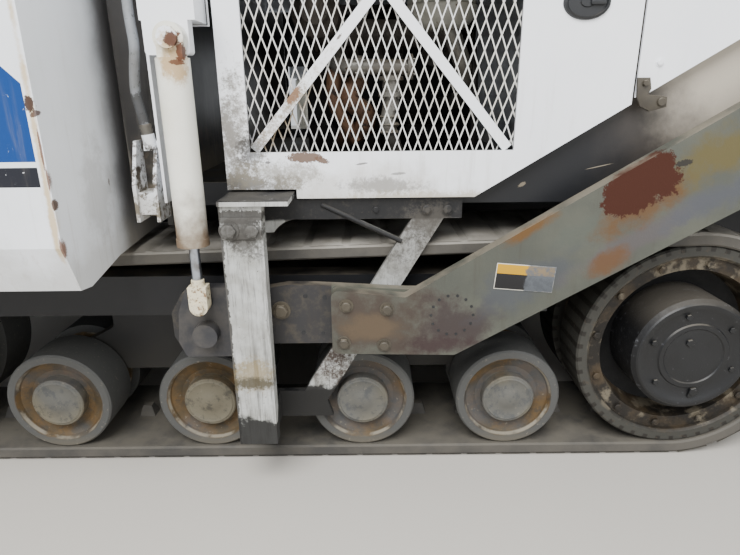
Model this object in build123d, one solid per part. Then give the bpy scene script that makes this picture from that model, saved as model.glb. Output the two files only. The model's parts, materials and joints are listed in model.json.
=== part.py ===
from build123d import *
import math
import os

# Asphalt paver on rubber belts, in millimetres.
# +X is the way it drives, +Y its left side and +Z up. Zero is on the ground, below its middle.

# Gaps
SEAT = 0.3  # where one piece rests on or in another
RUN = 5.0  # beside a piece that moves

# Undercarriage
BELT_IN = 843.0
BELT_WIDTH = 457.0
BELT_T = 50.0
BELT_OUT = BELT_IN + BELT_WIDTH
BELT_MID = BELT_IN + BELT_WIDTH / 2
DRIVE_X = -970.0
DRIVE_R = 366.0
DRIVE_Z = BELT_T + DRIVE_R
IDLER_X = 1850.0
IDLER_R = 330.0
IDLER_Z = BELT_T + IDLER_R
ROLLER_R = 182.0
ROLLER_DISH = 153.0  # radius inside the rim
ROLLER_HUB = 90.0
IDLER_DISH = 290.0
IDLER_HUB = 135.0
ROLLER_Z = BELT_T + ROLLER_R
BOGIES = [  # front roller, rear roller
    (1200.0, 665.0),
    (130.0, -380.0),
]
GUIDE_COUNT = 44
GUIDE_LONG = 62.0
GUIDE_WIDE = 50.0
GUIDE_HIGH = 40.0
GROOVE = 92.0  # between the two halves of a wheel
WHEEL_INSET = 10.0  # from the belt's edge to the wheel's face
RIM_EDGE = 6.0  # chamfer of a wheel's rim
CAP_PROUD = 8.0  # a roller's hub stands this far out of its face
HUB_R = 200.0
HUB_PROUD = 45.0
AXLE_R = 45.0
IDLER_AXLE_R = 60.0
BEAM_LOW = 540.0
BEAM_TOP = 655.0
BEAM_IN = 900.0
BEAM_OUT = 1240.0
BEAM_LIP = 24.0  # the outer edge stands up beside the belt's guide blocks
BEAM_REAR = -505.0
BEAM_FRONT = 1490.0
BOGIE_T = 70.0

# Tractor frame
FRAME_OUT = 700.0
FRAME_T = 20.0
FRAME_LOW = 330.0
RAIL_TOP = 800.0
FRAME_REAR = -1900.0
NOSE_X = 3050.0
BULKHEAD_X = 822.0
FENDER_Z = 930.0
SHEET = 8.0
FRAME_TOP = FENDER_Z + SHEET
SILL_OUT = 1300.0
SILL_TOP = 1000.0
TIE_X = 2850.0  # lashing holes
TIE_Z = 490.0
TIE_R = 30.0

# Bodywork
PANEL_OUT = 1340.0
PANEL_TOP = 1795.0
BAY_TOP = 1436.0  # the front post is open below this, behind the towing point's cylinder
HOOD_TOP = 1950.0
HOOD_SHOULDER = 90.0
FIREWALL_X = -664.0
DOOR_FRONT = 525.0
DOOR_REAR = -656.0
DOOR_T = 30.0
DOOR_SKIN = 5.0
DOOR_LOW = 955.0
DOOR_STEP = 318.0
DOOR_SLOPE = -218.0  # where the door's lower edge starts to rise
DOOR_SLOPE_TOP = 1218.0
HINGE_Y = PANEL_OUT + 12  # door hinge pins
HINGE_Z = PANEL_TOP + 5
HINGE_R = 5.0
HINGE_TUBE_R = 10.0
HINGE_PLACES = [-500.0, -65.0, 370.0]
HINGE_LONG = 60.0
HINGE_LEAF = 24.0
VENT_FRONT = 690.0  # slots across the hood's top
VENT_COUNT = 9
VENT_STEP = 55.0
VENT_WIDE = 26.0
GRILLE_FRONT = 450.0
GRILLE_REAR = -327.0
GRILLE_LOW = 1092.0
GRILLE_TOP = 1560.0
MESH_WIDE = 50.0
MESH_HIGH = 140.0
MESH_STRAND = 10.0
CROSS_BAR = 29.0
CROSSING = (61.0, 1537.0)  # where the two flat bars cross: x, z
DECK_T = 35.0
DECK_TOP = PANEL_TOP + SEAT + DECK_T
ROOF_TOP = 3350.0

# Engine, and what shows beside it through the grille
ENGINE_HALF = 330.0
MANIFOLD = (640.0, 1360.0)  # y, z
MANIFOLD_R = 62.0
CANISTER = (-130.0, 1010.0)  # x, y
CANISTER_R = 118.0
CANISTER_LOW = 1440.0
PIPE_Y = 1090.0
PIPE_Z = 1290.0
PIPE_R = 28.0
PIPE_REAR = 85.0
PIPE_FRONT = 360.0

# Hopper
WING_OUT = 1700.0
WING_REAR = 850.0
WING_FRONT = 2950.0
WING_LOW = 785.0
WING_TOP = 1620.0
WING_T = 12.0
WING_KNEE = 1400.0
WING_FOLD = [(1590.0, 768.0), (1648.0, 776.0), (1700.0, 903.0)]  # y, z
WING_PIN_Y = 720.0
WING_PIN_Z = 842.0
WING_PIN_R = 9.0
WING_TUBE_R = 17.0
WING_LUGS = [900.0, 1570.0, 2240.0, 2900.0]
WING_LUG_T = 24.0

# Conveyor
CONVEYOR_REAR = -2000.0
CONVEYOR_FRONT = 2900.0
CONVEYOR_Z = 560.0
CONVEYOR_T = 12.0
CHAIN_PLACES = [110.0, 570.0]
SLAT_COUNT = 19

# Wing cylinders
RAM_X = 2450.0
RAM_FOOT = (760.0, 450.0)  # y, z of the lower pin
RAM_EYE = (1350.0, 765.0)  # y, z of the upper pin
RAM_R = 42.0
RAM_ROD_R = 20.0
RAM_PIN_R = 12.0
RAM_LUG_IN = 14.0
RAM_LUG_T = 16.0
RAM_EYE_R = 24.0

# Towing gear
ARM_IN = 1370.0
ARM_T = 50.0
ARM_OUT = ARM_IN + ARM_T
NOSE_IN = 1335.0
ARM_SLOPE = math.radians(30.9)
ARM_SLOPE_LOW = math.radians(29.4)  # of the lower edge
TOW_X = 605.0
TOW_Z = 556.0
TOW_PIN_R = 38.0
COLUMN_REAR = 402.0
COLUMN_WIDE = 120.0
COLUMN_IN = 1430.0
COLUMN_OUT = 1480.0
COLUMN_LOW = 186.0
SHELF_Z = 962.0
SHELF_T = 14.0
HANGER_REAR = -185.0
HANGER_LOW = 887.0
BRACE_TOP = (-103.0, 925.0)  # x, z
BRACE_FOOT = (314.0, 226.0)
FOOT_LOW = 190.0
FOOT_TOP = 288.0
TOW_RAM_X = 607.0
TOW_RAM_Y = 1460.0
TOW_RAM_R = 44.0
TOW_RAM_LOW = 845.0
TOW_RAM_TOP = 1347.0
TOW_EYE_Z = 1395.0
TOW_EYE_R = 39.0
TOW_HEAD_PIN_R = 16.0
TOW_ROD_R = 15.0
CLEVIS_Z = 660.0
CLEVIS_R = 27.0
CLEVIS_HIGH = 62.0

# Hydraulic hose beside the front post
HOSE_R = 14.0
HOSE_ROUTE = [
    (735, 1362, 1150), (742, 1366, 1205), (752, 1369, 1262), (745, 1372, 1322), (735, 1370, 1384),
    (742, 1364, 1444), (746, 1356, 1500), (744, 1350, 1552),
]

# Screed, drawn level as it works and then raised about the towing pin
SCREED_RAISED = 3.2
SCREED_LOW = 40.0
SCREED_FRONT = -2620.0
SCREED_LONG = 410.0
SCREED_REAR = SCREED_FRONT - SCREED_LONG
SCREED_HALF = ARM_IN - SEAT
TUBE_R = 35.0
TUBE_X = SCREED_REAR - TUBE_R - 30
TUBE_LEVELS = [140.0, 320.0]  # above the screed's sole
EXTENSION_FRONT = TUBE_X - TUBE_R - 20
EXTENSION_LONG = 220.0
EXTENSION_REAR = EXTENSION_FRONT - EXTENSION_LONG
EXTENSION_OUT = 1500.0
GATE_T = 20.0
STEP_LONG = 108.0
STEP_REAR = EXTENSION_REAR - STEP_LONG
GRATE_COUNT = 11
GRATE_WIDE = 78.0

# Augers
AUGER_X = -2250.0
AUGER_Z = 470.0
AUGER_R = 180.0
AUGER_SHAFT_R = 45.0
AUGER_IN = 80.0
AUGER_OUT = 1300.0
AUGER_TURNS = 5
AUGER_BEAM_LOW = 810.0
AUGER_BEAM_REAR = -2085.0
AUGER_BEAM_FRONT = -2005.0
AUGER_END = 1335.0

# Screed lift cylinders
LIFT_TOP = (-1945.0, 1600.0)  # x, z
LIFT_EYE = (-2330.0, 830.0)
LIFT_Y = 1468.0
LIFT_R = 40.0
LIFT_ROD_R = 20.0

# Push rollers
PUSH_PIVOT_X = NOSE_X + 80
PUSH_BAR = 100.0  # the beam's depth
PUSH_REACH = 110.0  # from the beam's face to the rollers' axis
PUSH_BAR_REAR = PUSH_PIVOT_X + 60
PUSH_BAR_FRONT = PUSH_BAR_REAR + PUSH_BAR
PUSH_X = PUSH_BAR_FRONT + PUSH_REACH
PUSH_Z = 510.0
PUSH_R = 100.0
PUSH_AXLE_R = 20.0
PUSH_IN = 330.0
PUSH_OUT = 1080.0
PUSH_EAR = 22.0

# Platform
SEATS = [760.0, -760.0]
SEAT_X = -1450.0
CUSHION_Z = 2180.0
ROOF_REAR = -2150.0
ROOF_FRONT = 250.0
ROOF_HALF = 1290.0
ROOF_T = 15.0
ROOF_LIP = 120.0
ROOF_POSTS = [-1860.0, -760.0]
ROOF_POST_Y = 1150.0
ROOF_RIBS = [-1860.0, -1310.0, -760.0, -210.0]
RAIL_R = 20.0
RAIL_X = -1925.0
RAIL_FRONT = -1560.0
RAIL_HALF = 1290.0
RAIL_GAP = 300.0  # half the opening above the ladder
LADDER_HALF = 240.0
LADDER_LEVELS = [1020.0, 1270.0, 1520.0]
LADDER_DEEP = 90.0
LAMP_Y = 900.0
LAMP_WIDE = 180.0
LAMP_DEEP = 90.0
EXHAUST = (350.0, -700.0)
EXHAUST_R = 50.0
EXHAUST_TOP = 2650.0


def block(x0, x1, y0, y1, z0, z1):
    middle = Pos((x0 + x1) / 2, (y0 + y1) / 2, (z0 + z1) / 2)
    return middle * Box(abs(x1 - x0), abs(y1 - y0), abs(z1 - z0))


def outline(points, corner=0):
    if corner:
        return make_face(FilletPolyline(*points, radius=corner, close=True))
    return make_face(Polyline(*points, close=True))


# A face drawn in x and z, made thick along Y
def side_cut(face, y0, y1):
    plane = Plane(origin=(0, y1, 0), x_dir=(1, 0, 0), z_dir=(0, -1, 0))
    return extrude(plane * face, y1 - y0)


def side_plate(points, y0, y1, corner=0):
    return side_cut(outline(points, corner), y0, y1)


# A face drawn in y and z, made thick along X
def cross_plate(points, x0, x1, corner=0):
    plane = Plane(origin=(x0, 0, 0), x_dir=(0, 1, 0), z_dir=(1, 0, 0))
    return extrude(plane * outline(points, corner), x1 - x0)


def bar(start, end, radius):
    along = Vector(*end) - Vector(*start)
    return extrude(Plane(origin=start, z_dir=along) * Circle(radius), along.length)


def bar_x(x0, x1, y, z, radius):
    return bar((x0, y, z), (x1, y, z), radius)


def bar_y(y0, y1, x, z, radius):
    return bar((x, y0, z), (x, y1, z), radius)


# A profile of (y, radius) points, turned about the axle at x and z
def turned(profile, x, z):
    return Pos(x, 0, z) * revolve(Plane.YZ * outline(profile), Axis.Y, 360)


def mirrored(piece):
    return mirror(piece, about=Plane.XZ)


def group(*pieces):
    return Compound([solid for piece in pieces for solid in piece.solids()])


def both(piece):
    return group(piece, mirrored(piece))


# The screed's pieces are turned from the working place to the raised one
def hook_up(piece):
    pin = Pos(TOW_X, 0, TOW_Z)
    return pin * Rot(0, SCREED_RAISED, 0) * pin.inverse() * piece


# Undercarriage

def loop_ends(grow):
    ends = [(DRIVE_X, DRIVE_Z, DRIVE_R + grow), (IDLER_X, IDLER_Z, IDLER_R + grow)]
    (ax, az, ar), (bx, bz, br) = ends
    lean = math.atan2(bz - az, bx - ax)
    turn = math.acos((ar - br) / math.hypot(bx - ax, bz - az))
    return ends, lean, turn


def on_circle(circle, angle):
    x, z, r = circle
    return (x + r * math.cos(angle), z + r * math.sin(angle))


def loop_face(grow):
    (drive, idler), lean, turn = loop_ends(grow)
    top = [on_circle(drive, lean + turn), on_circle(idler, lean + turn)]
    low = [on_circle(drive, lean - turn), on_circle(idler, lean - turn)]
    return make_face([
        Line(top[0], top[1]),
        ThreePointArc(top[1], on_circle(idler, lean), low[1]),
        Line(low[1], low[0]),
        ThreePointArc(low[0], on_circle(drive, lean + math.pi), top[0]),
    ])


# Places of the guide blocks along the belt's inner face: x, z and the angle of the outward normal
def guide_places():
    (drive, idler), lean, turn = loop_ends(0)
    top_drive, top_idler = on_circle(drive, lean + turn), on_circle(idler, lean + turn)
    low_drive, low_idler = on_circle(drive, lean - turn), on_circle(idler, lean - turn)
    run = math.dist(top_drive, top_idler)
    front_arc = 2 * turn * idler[2]
    rear_arc = 2 * (math.pi - turn) * drive[2]
    total = 2 * run + front_arc + rear_arc
    for count in range(GUIDE_COUNT):
        s = (count + 0.5) * total / GUIDE_COUNT
        if s < run:
            t = s / run
            point = [a + (b - a) * t for a, b in zip(top_drive, top_idler)]
            yield point[0], point[1], lean + turn
        elif s < run + front_arc:
            angle = lean + turn - (s - run) / idler[2]
            yield *on_circle(idler, angle), angle
        elif s < 2 * run + front_arc:
            t = (s - run - front_arc) / run
            point = [a + (b - a) * t for a, b in zip(low_idler, low_drive)]
            yield point[0], point[1], lean - turn
        else:
            angle = lean - turn - (s - 2 * run - front_arc) / drive[2]
            yield *on_circle(drive, angle), angle


def track_belt():
    belt = side_cut(loop_face(BELT_T) - loop_face(0), BELT_IN, BELT_OUT)
    root = 4.0  # how deep a guide block is rooted in the belt
    half = GUIDE_LONG / 2
    guide = side_plate(
        [(-half, root), (half, root), (half - 14, -GUIDE_HIGH), (14 - half, -GUIDE_HIGH)],
        BELT_MID - GUIDE_WIDE / 2, BELT_MID + GUIDE_WIDE / 2)
    guides = [
        Pos(x, 0, z) * Rot(0, 90 - math.degrees(angle), 0) * guide
        for x, z, angle in guide_places()
    ]
    return belt + guides


# Two half wheels with a groove between them that the guide blocks run in
def paired_wheel(x, z, radius, dish, hub, axle):
    inner, outer = BELT_IN + WHEEL_INSET, BELT_OUT - WHEEL_INSET
    left, right = BELT_MID - GROOVE / 2, BELT_MID + GROOVE / 2
    r = radius - SEAT
    return turned([
        (inner, 0), (inner, hub), (inner + 22, hub + 12), (inner + 22, dish - 8), (inner, dish),
        (inner, r - RIM_EDGE), (inner + RIM_EDGE, r), (left, r), (left, axle), (right, axle), (right, r),
        (outer - RIM_EDGE, r), (outer, r - RIM_EDGE), (outer, dish), (outer - 20, dish - 10),
        (outer - 34, hub + 20), (outer - 34, hub), (outer + CAP_PROUD - 4, hub), (outer + CAP_PROUD, hub - 4),
        (outer + CAP_PROUD, 0),
    ], x, z)


def track_rollers():
    rollers = [
        paired_wheel(x, ROLLER_Z, ROLLER_R, ROLLER_DISH, ROLLER_HUB, AXLE_R) for pair in BOGIES for x in pair
    ]
    return group(*rollers, paired_wheel(IDLER_X, IDLER_Z, IDLER_R, IDLER_DISH, IDLER_HUB, IDLER_AXLE_R))


def drive_wheel():
    inner, outer = BELT_IN + WHEEL_INSET, BELT_OUT - WHEEL_INSET
    left, right = BELT_MID - GROOVE / 2, BELT_MID + GROOVE / 2
    r = DRIVE_R - SEAT
    hub_face = BELT_OUT + HUB_PROUD
    return turned([
        (inner, 0), (inner, 300), (inner + 18, 318), (inner, 330), (inner, r - RIM_EDGE), (inner + RIM_EDGE, r),
        (left, r), (left, r - 70), (right, r - 70), (right, r), (outer - RIM_EDGE, r), (outer, r - RIM_EDGE),
        (outer, 330), (outer - 8, 322), (outer - 20, 320), (outer - 22, 278), (outer - 120, 262),
        (outer - 130, HUB_R), (hub_face - 12, HUB_R), (hub_face, HUB_R - 12), (hub_face, 0),
    ], DRIVE_X, DRIVE_Z)


def track_frame():
    frame = side_plate(
        [(BEAM_REAR, BEAM_LOW), (BEAM_FRONT, BEAM_LOW), (BEAM_FRONT, BEAM_TOP), (BEAM_REAR, BEAM_TOP)],
        BEAM_IN, BEAM_OUT)
    frame += block(BEAM_REAR, BEAM_FRONT, BEAM_OUT - 90, BEAM_OUT, BEAM_TOP - 5, BEAM_TOP + BEAM_LIP)
    low, high = BELT_MID - BOGIE_T / 2, BELT_MID + BOGIE_T / 2
    pad = ROLLER_Z - 70
    for front, rear in BOGIES:
        middle = (front + rear) / 2
        plate = side_plate([
            (rear - 75, pad), (rear + 75, pad), (rear + 130, 270), (front - 130, 270), (front - 75, pad),
            (front + 75, pad), (front + 75, 320), (middle + 120, 440),
            (middle + 120, BEAM_LOW + 20), (middle - 120, BEAM_LOW + 20), (middle - 120, 440),
            (rear - 75, 320),
        ], low, high, corner=18)
        for x in (front, rear):
            plate -= bar_y(low - 1, high + 1, x, ROLLER_Z, AXLE_R + SEAT)
        frame += plate
    fork = side_plate([
        (BEAM_FRONT - 60, BEAM_LOW), (IDLER_X - 20, IDLER_Z - 110), (IDLER_X + 110, IDLER_Z - 80),
        (IDLER_X + 110, IDLER_Z + 80), (IDLER_X - 20, IDLER_Z + 120), (BEAM_FRONT - 60, BEAM_TOP - 10),
    ], low, high)
    fork -= bar_y(low - 1, high + 1, IDLER_X, IDLER_Z, IDLER_AXLE_R + SEAT)
    return frame + fork


# Tractor frame

def main_frame():
    side = side_plate([
        (FRAME_REAR, 560), (-1500, FRAME_LOW), (2500, FRAME_LOW), (NOSE_X, 430),
        (NOSE_X, RAIL_TOP), (BULKHEAD_X, RAIL_TOP), (BULKHEAD_X, FRAME_TOP), (FRAME_REAR, FRAME_TOP),
    ], FRAME_OUT - FRAME_T, FRAME_OUT)
    side += block(FRAME_REAR, BULKHEAD_X, FRAME_OUT, SILL_OUT, FENDER_Z, FENDER_Z + SHEET)
    side += side_plate([
        (FRAME_REAR, FENDER_Z), (BULKHEAD_X, FENDER_Z), (BULKHEAD_X, SILL_TOP), (DOOR_SLOPE + 90, SILL_TOP),
        (FIREWALL_X, DOOR_SLOPE_TOP + 60), (FIREWALL_X, PANEL_TOP), (FRAME_REAR, PANEL_TOP),
    ], SILL_OUT - SHEET, SILL_OUT)
    for rear, front in ((-420, -260), (980, 1140)):
        side += block(rear, front, FRAME_OUT - 5, BEAM_IN - SEAT, BEAM_LOW + 10, BEAM_TOP - 10)
    side += bar_y(FRAME_OUT - 5, BELT_IN + WHEEL_INSET - SEAT, DRIVE_X, DRIVE_Z, 170)
    for x in WING_LUGS:
        side += bar_x(x - WING_LUG_T / 2, x + WING_LUG_T / 2, WING_PIN_Y, WING_PIN_Z, WING_TUBE_R)
        side += block(x - WING_LUG_T / 2, x + WING_LUG_T / 2, FRAME_OUT - FRAME_T, WING_PIN_Y,
                      RAIL_TOP - 40, WING_PIN_Z)
    side += bar_x(WING_LUGS[0], WING_LUGS[-1], WING_PIN_Y, WING_PIN_Z, WING_PIN_R)
    y, z = RAM_FOOT
    for x in (RAM_X - 32, RAM_X + 16):
        side += block(x, x + 16, FRAME_OUT - 5, y + 22, z - 26, z + 26)
    side += bar_x(RAM_X - 32, RAM_X + 32, y, z, RAM_PIN_R)
    inside = FRAME_OUT - FRAME_T + 5
    frame = side + mirrored(side)
    frame += block(-1500, 2500, -inside, inside, FRAME_LOW, FRAME_LOW + 15)
    frame += block(FRAME_REAR, BULKHEAD_X, -inside, inside, FENDER_Z, FENDER_Z + SHEET)
    frame -= bar_y(-FRAME_OUT - 1, FRAME_OUT + 1, TIE_X, TIE_Z, TIE_R)
    frame += block(NOSE_X - 20, NOSE_X, -inside, inside, 430, 560)
    frame += block(NOSE_X - 10, PUSH_PIVOT_X + 40, -90, 90, 440, 455)
    frame += block(NOSE_X - 10, PUSH_PIVOT_X + 40, -90, 90, 545, 560)
    frame += bar((PUSH_PIVOT_X, 0, 445), (PUSH_PIVOT_X, 0, 555), 25)
    return frame


def engine_block():
    return block(-380, 380, -ENGINE_HALF, ENGINE_HALF, FRAME_TOP + SEAT, 1620)


# What shows through the door's grille, on the engine's left
def engine_fittings():
    (manifold_y, manifold_z), floor = MANIFOLD, FRAME_TOP + SEAT
    manifold = bar_x(-250, 330, manifold_y, manifold_z, MANIFOLD_R)
    for x in (-200, 0, 200):
        manifold += bar_y(ENGINE_HALF + SEAT, manifold_y, x, manifold_z, 40)
    x, y = CANISTER
    canister = bar((x, y, CANISTER_LOW), (x, y, CANISTER_LOW + 220), CANISTER_R)
    canister += bar((x, y, floor), (x, y, CANISTER_LOW + 10), 18)
    pipe = bar_x(PIPE_REAR, PIPE_FRONT, PIPE_Y, PIPE_Z, PIPE_R)
    for x in (PIPE_REAR, PIPE_FRONT):
        pipe += bar((x, PIPE_Y, PIPE_Z + PIPE_R), (x, PIPE_Y, floor), PIPE_R)
    return group(manifold, canister, pipe)


# Front wall of the engine room with its two corner posts and the white channel bracket
def engine_housing():
    half = SILL_OUT - SHEET - SEAT
    wall = block(BULKHEAD_X - SHEET, BULKHEAD_X, -half, half, FRAME_TOP + SEAT, PANEL_TOP)
    post = block(DOOR_FRONT + 15, 700, SILL_OUT + SEAT, SILL_OUT + 2 * SHEET, BAY_TOP, PANEL_TOP)
    post += block(680, 700, SILL_OUT + SEAT, SILL_OUT + 2 * SHEET, DOOR_LOW, BAY_TOP + 1)
    post += block(692, 700, SILL_OUT + SEAT, 1390, DOOR_LOW, PANEL_TOP)
    post += block(692, BULKHEAD_X, SILL_OUT + SEAT, SILL_OUT + SHEET, SILL_TOP + SEAT, PANEL_TOP)
    post += block(BULKHEAD_X - SHEET, BULKHEAD_X, half - 5, SILL_OUT + SHEET, SILL_TOP + SEAT, PANEL_TOP)
    bracket = cross_plate([
        (SILL_OUT + SHEET, 1130), (1350, 1130), (1400, 1010), (1400, 900), (SILL_OUT + SHEET, 900),
    ], 715, 725)
    bracket += cross_plate([
        (SILL_OUT + SHEET, 1130), (1350, 1130), (1400, 1010), (1400, 900), (SILL_OUT + SHEET, 900),
    ], 775, 785)
    bracket += block(715, 785, SILL_OUT + SEAT, SILL_OUT + SHEET + 1, 900, 1130)
    bracket += block(695, 720, SILL_OUT + SEAT, SILL_OUT + SHEET, DOOR_LOW, 1130)
    bracket += block(720, 780, SILL_OUT + SHEET, 1385, 920, 985)
    for end, inner in ((HOSE_ROUTE[0], HOSE_ROUTE[1]), (HOSE_ROUTE[-1], HOSE_ROUTE[-2])):
        out = (Vector(*end) - Vector(*inner)).normalized()
        fitting = bar(tuple(Vector(*end) + out * SEAT), tuple(Vector(*end) + out * 40), HOSE_R + 4)
        x, y, z = tuple(Vector(*end) + out * 34)
        bracket += fitting + block(x - 22, x + 22, SILL_OUT + SEAT, y, z - 14, z + 14)
    return wall + post + mirrored(post) + bracket + mirrored(bracket)


def rear_housing():
    low_rear = 1600
    side = side_plate([
        (FIREWALL_X, 1236), (-700, 1248), (-930, 1386), (-1290, low_rear), (FRAME_REAR, low_rear),
        (FRAME_REAR, PANEL_TOP), (FIREWALL_X, PANEL_TOP),
    ], PANEL_OUT - SHEET, PANEL_OUT)
    for x in (-760, -1300, FRAME_REAR + 10):
        side += block(x, x + 30, SILL_OUT + SEAT, PANEL_OUT - 2, low_rear + 30, PANEL_TOP)
    wall = block(FIREWALL_X - SHEET, FIREWALL_X, -SILL_OUT + SHEET + SEAT, SILL_OUT - SHEET - SEAT,
                 FENDER_Z + SHEET + SEAT, PANEL_TOP)
    back = block(FRAME_REAR, FRAME_REAR + SHEET, -SILL_OUT + SHEET + SEAT, SILL_OUT - SHEET - SEAT,
                 FENDER_Z + SHEET + SEAT, PANEL_TOP)
    return group(side, mirrored(side), wall, back)


def hood_shell(inset, x0, x1):
    half, low, top = PANEL_OUT - inset, PANEL_TOP + RUN, HOOD_TOP - inset
    shell = cross_plate([(-half, low), (half, low), (half, top), (-half, top)], x0, x1)
    edges = shell.edges().filter_by(Axis.X).sort_by(Axis.Z)[-2:]
    return fillet(edges, HOOD_SHOULDER - inset)


def engine_hood():
    hood = hood_shell(0, FIREWALL_X + SEAT, BULKHEAD_X)
    hood -= hood_shell(SHEET, FIREWALL_X + SHEET, BULKHEAD_X - SHEET)
    hood += block(BULKHEAD_X - SHEET, BULKHEAD_X, -SILL_OUT, SILL_OUT, PANEL_TOP + SEAT,
                  PANEL_TOP + RUN + 2)
    for x in HINGE_PLACES:
        low, high = x - HINGE_LONG / 2, x + HINGE_LONG / 2
        hinge = bar_x(low - 8, high + 8, HINGE_Y, HINGE_Z, HINGE_R)
        for near in (low - 18, high + 3):
            hinge += bar_x(near, near + 15, HINGE_Y, HINGE_Z, HINGE_TUBE_R)
            hinge += block(near, near + 15, PANEL_OUT - 4, HINGE_Y, HINGE_Z, HINGE_Z + HINGE_LEAF)
        hood += hinge + mirrored(hinge)
    for y in (-420, 420):
        for count in range(VENT_COUNT):
            x = VENT_FRONT - count * VENT_STEP
            hood -= block(x - VENT_WIDE, x, y - 260, y + 260, HOOD_TOP - SHEET - 1, HOOD_TOP + 1)
    return hood


# Side door of the engine room: a folded tray with a grille opening and two crossing flat bars
def door_outline():
    return [
        (DOOR_FRONT, DOOR_LOW + 28), (DOOR_STEP, DOOR_LOW + 28), (DOOR_STEP, DOOR_LOW), (DOOR_SLOPE, DOOR_LOW),
        (DOOR_REAR, DOOR_SLOPE_TOP),
        (DOOR_REAR, PANEL_TOP), (DOOR_FRONT, PANEL_TOP),
    ]


def grille_box(grow, y0, y1):
    return block(GRILLE_REAR - grow, GRILLE_FRONT + grow, y0, y1, GRILLE_LOW - grow, GRILLE_TOP + grow)


def flat_bar(start, end, width, y0, y1):
    along = Vector(end[0] - start[0], end[1] - start[1], 0)
    edge = along.normalized().rotate(Axis.Z, 90) * (width / 2)
    (ax, az), (bx, bz) = start, end
    return side_plate([
        (ax + edge.X, az + edge.Y), (bx + edge.X, bz + edge.Y),
        (bx - edge.X, bz - edge.Y), (ax - edge.X, az - edge.Y),
    ], y0, y1)


def engine_door():
    low = PANEL_OUT - DOOR_T
    door = side_plate(door_outline(), low, PANEL_OUT)
    inner = side_plate([
        (DOOR_FRONT - 30, 1020), (DOOR_SLOPE + 20, 1020), (DOOR_REAR + 30, DOOR_SLOPE_TOP + 42),
        (DOOR_REAR + 30, PANEL_TOP - 30), (DOOR_FRONT - 30, PANEL_TOP - 30),
    ], low - 1, PANEL_OUT - DOOR_SKIN)
    rim = grille_box(22, low - 1, PANEL_OUT - DOOR_SKIN)
    door -= inner - rim
    door -= grille_box(0, low - 2, PANEL_OUT + 1)
    door -= grille_box(12, low - 2, low + 14)
    crossing_x, crossing_z = CROSSING
    for foot_x in (GRILLE_FRONT - 13, GRILLE_REAR + 18):
        foot_z = GRILLE_LOW + 6
        end_x = foot_x + (crossing_x - foot_x) * (GRILLE_TOP + 10 - foot_z) / (crossing_z - foot_z)
        door += flat_bar((foot_x, foot_z), (end_x, GRILLE_TOP + 10), CROSS_BAR, PANEL_OUT - 14, PANEL_OUT - 6)
    for x in HINGE_PLACES:
        low, high = x - HINGE_LONG / 2, x + HINGE_LONG / 2
        door += bar_x(low, high, HINGE_Y, HINGE_Z, HINGE_TUBE_R)
        door += block(low, high, PANEL_OUT - 6, HINGE_Y, PANEL_TOP - 14, HINGE_Z)
        door -= bar_x(low - 1, high + 1, HINGE_Y, HINGE_Z, HINGE_R + SEAT)
    return door


def door_grille():
    y1 = PANEL_OUT - DOOR_T + 14 - SEAT
    y0 = y1 - 6
    plate = grille_box(12 - SEAT, y0, y1)
    columns = int((GRILLE_FRONT - GRILLE_REAR) / MESH_WIDE)
    rows = int((GRILLE_TOP - GRILLE_LOW) / MESH_HIGH * 2)
    centre_x, centre_z = (GRILLE_FRONT + GRILLE_REAR) / 2, (GRILLE_TOP + GRILLE_LOW) / 2
    half_x, half_z = MESH_WIDE / 2 - MESH_STRAND / 2, MESH_HIGH / 2 - MESH_STRAND
    holes = []
    for row in range(rows):
        z = centre_z + (row - (rows - 1) / 2) * MESH_HIGH / 2
        count = columns - row % 2
        for column in range(count):
            x = centre_x + (column - (count - 1) / 2) * MESH_WIDE
            holes.append(make_face(Polyline(
                (x - half_x, z), (x, z - half_z), (x + half_x, z), (x, z + half_z), close=True)))
    return plate - side_cut(Sketch(holes), y0 - 1, y1 + 1)


# Towing gear

def tow_guide():
    front = COLUMN_REAR + COLUMN_WIDE
    column = block(COLUMN_REAR, front, COLUMN_IN, COLUMN_OUT, COLUMN_LOW, SHELF_Z + 2)
    step = DOOR_STEP + RUN + 2
    shelf = block(step, front, SILL_OUT + SEAT, COLUMN_OUT + 12, SHELF_Z, SHELF_Z + SHELF_T)
    inner, outer = SILL_OUT + SEAT, NOSE_IN - 12
    arch = [(HANGER_REAR, HANGER_LOW), (COLUMN_REAR - 88, HANGER_LOW), (COLUMN_REAR - 5, HANGER_LOW - 40)]
    rest = [
        arch[2], (front, HANGER_LOW - 40), (front, SHELF_Z + 1), (step, SHELF_Z + 1),
        (step, DOOR_LOW - RUN - 1), (HANGER_REAR, DOOR_LOW - RUN - 1), arch[0],
    ]
    crown = (COLUMN_REAR - 32, HANGER_LOW - 13)
    hanger = side_cut(make_face([Line(arch[0], arch[1]), ThreePointArc(arch[1], crown, arch[2]), Polyline(*rest)]),
                      inner, outer)
    brace = flat_bar(BRACE_TOP, BRACE_FOOT, 84, inner, outer)
    stay = bar((246, outer - 2, 932), (0, outer - 2, 814), 8)
    foot = side_plate([
        (232, FOOT_LOW), (front, FOOT_LOW), (front, FOOT_TOP), (262, FOOT_TOP),
    ], inner, outer)
    foot += block(COLUMN_REAR + 10, front - 10, SILL_OUT + 5, COLUMN_IN + 2, FOOT_LOW, FOOT_TOP)
    return column + shelf + hanger + brace + stay + foot


def tow_bracket():
    low, high = TOW_RAM_Y - 22, TOW_RAM_Y + 22
    inner = SILL_OUT + 2 * SHEET + SEAT
    bracket = block(545, 690, inner, low, 1440, 1520)
    bracket += side_plate([(565, 1356), (684, 1356), (684, 1450), (565, 1450)], low - 40, low, corner=10)
    pin = bar_y(low - 40, high + 6, TOW_RAM_X, TOW_EYE_Z, TOW_HEAD_PIN_R)
    return bracket + pin + bar_y(high - 2 + SEAT, high + 10, TOW_RAM_X, TOW_EYE_Z, TOW_HEAD_PIN_R + 10)


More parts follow.
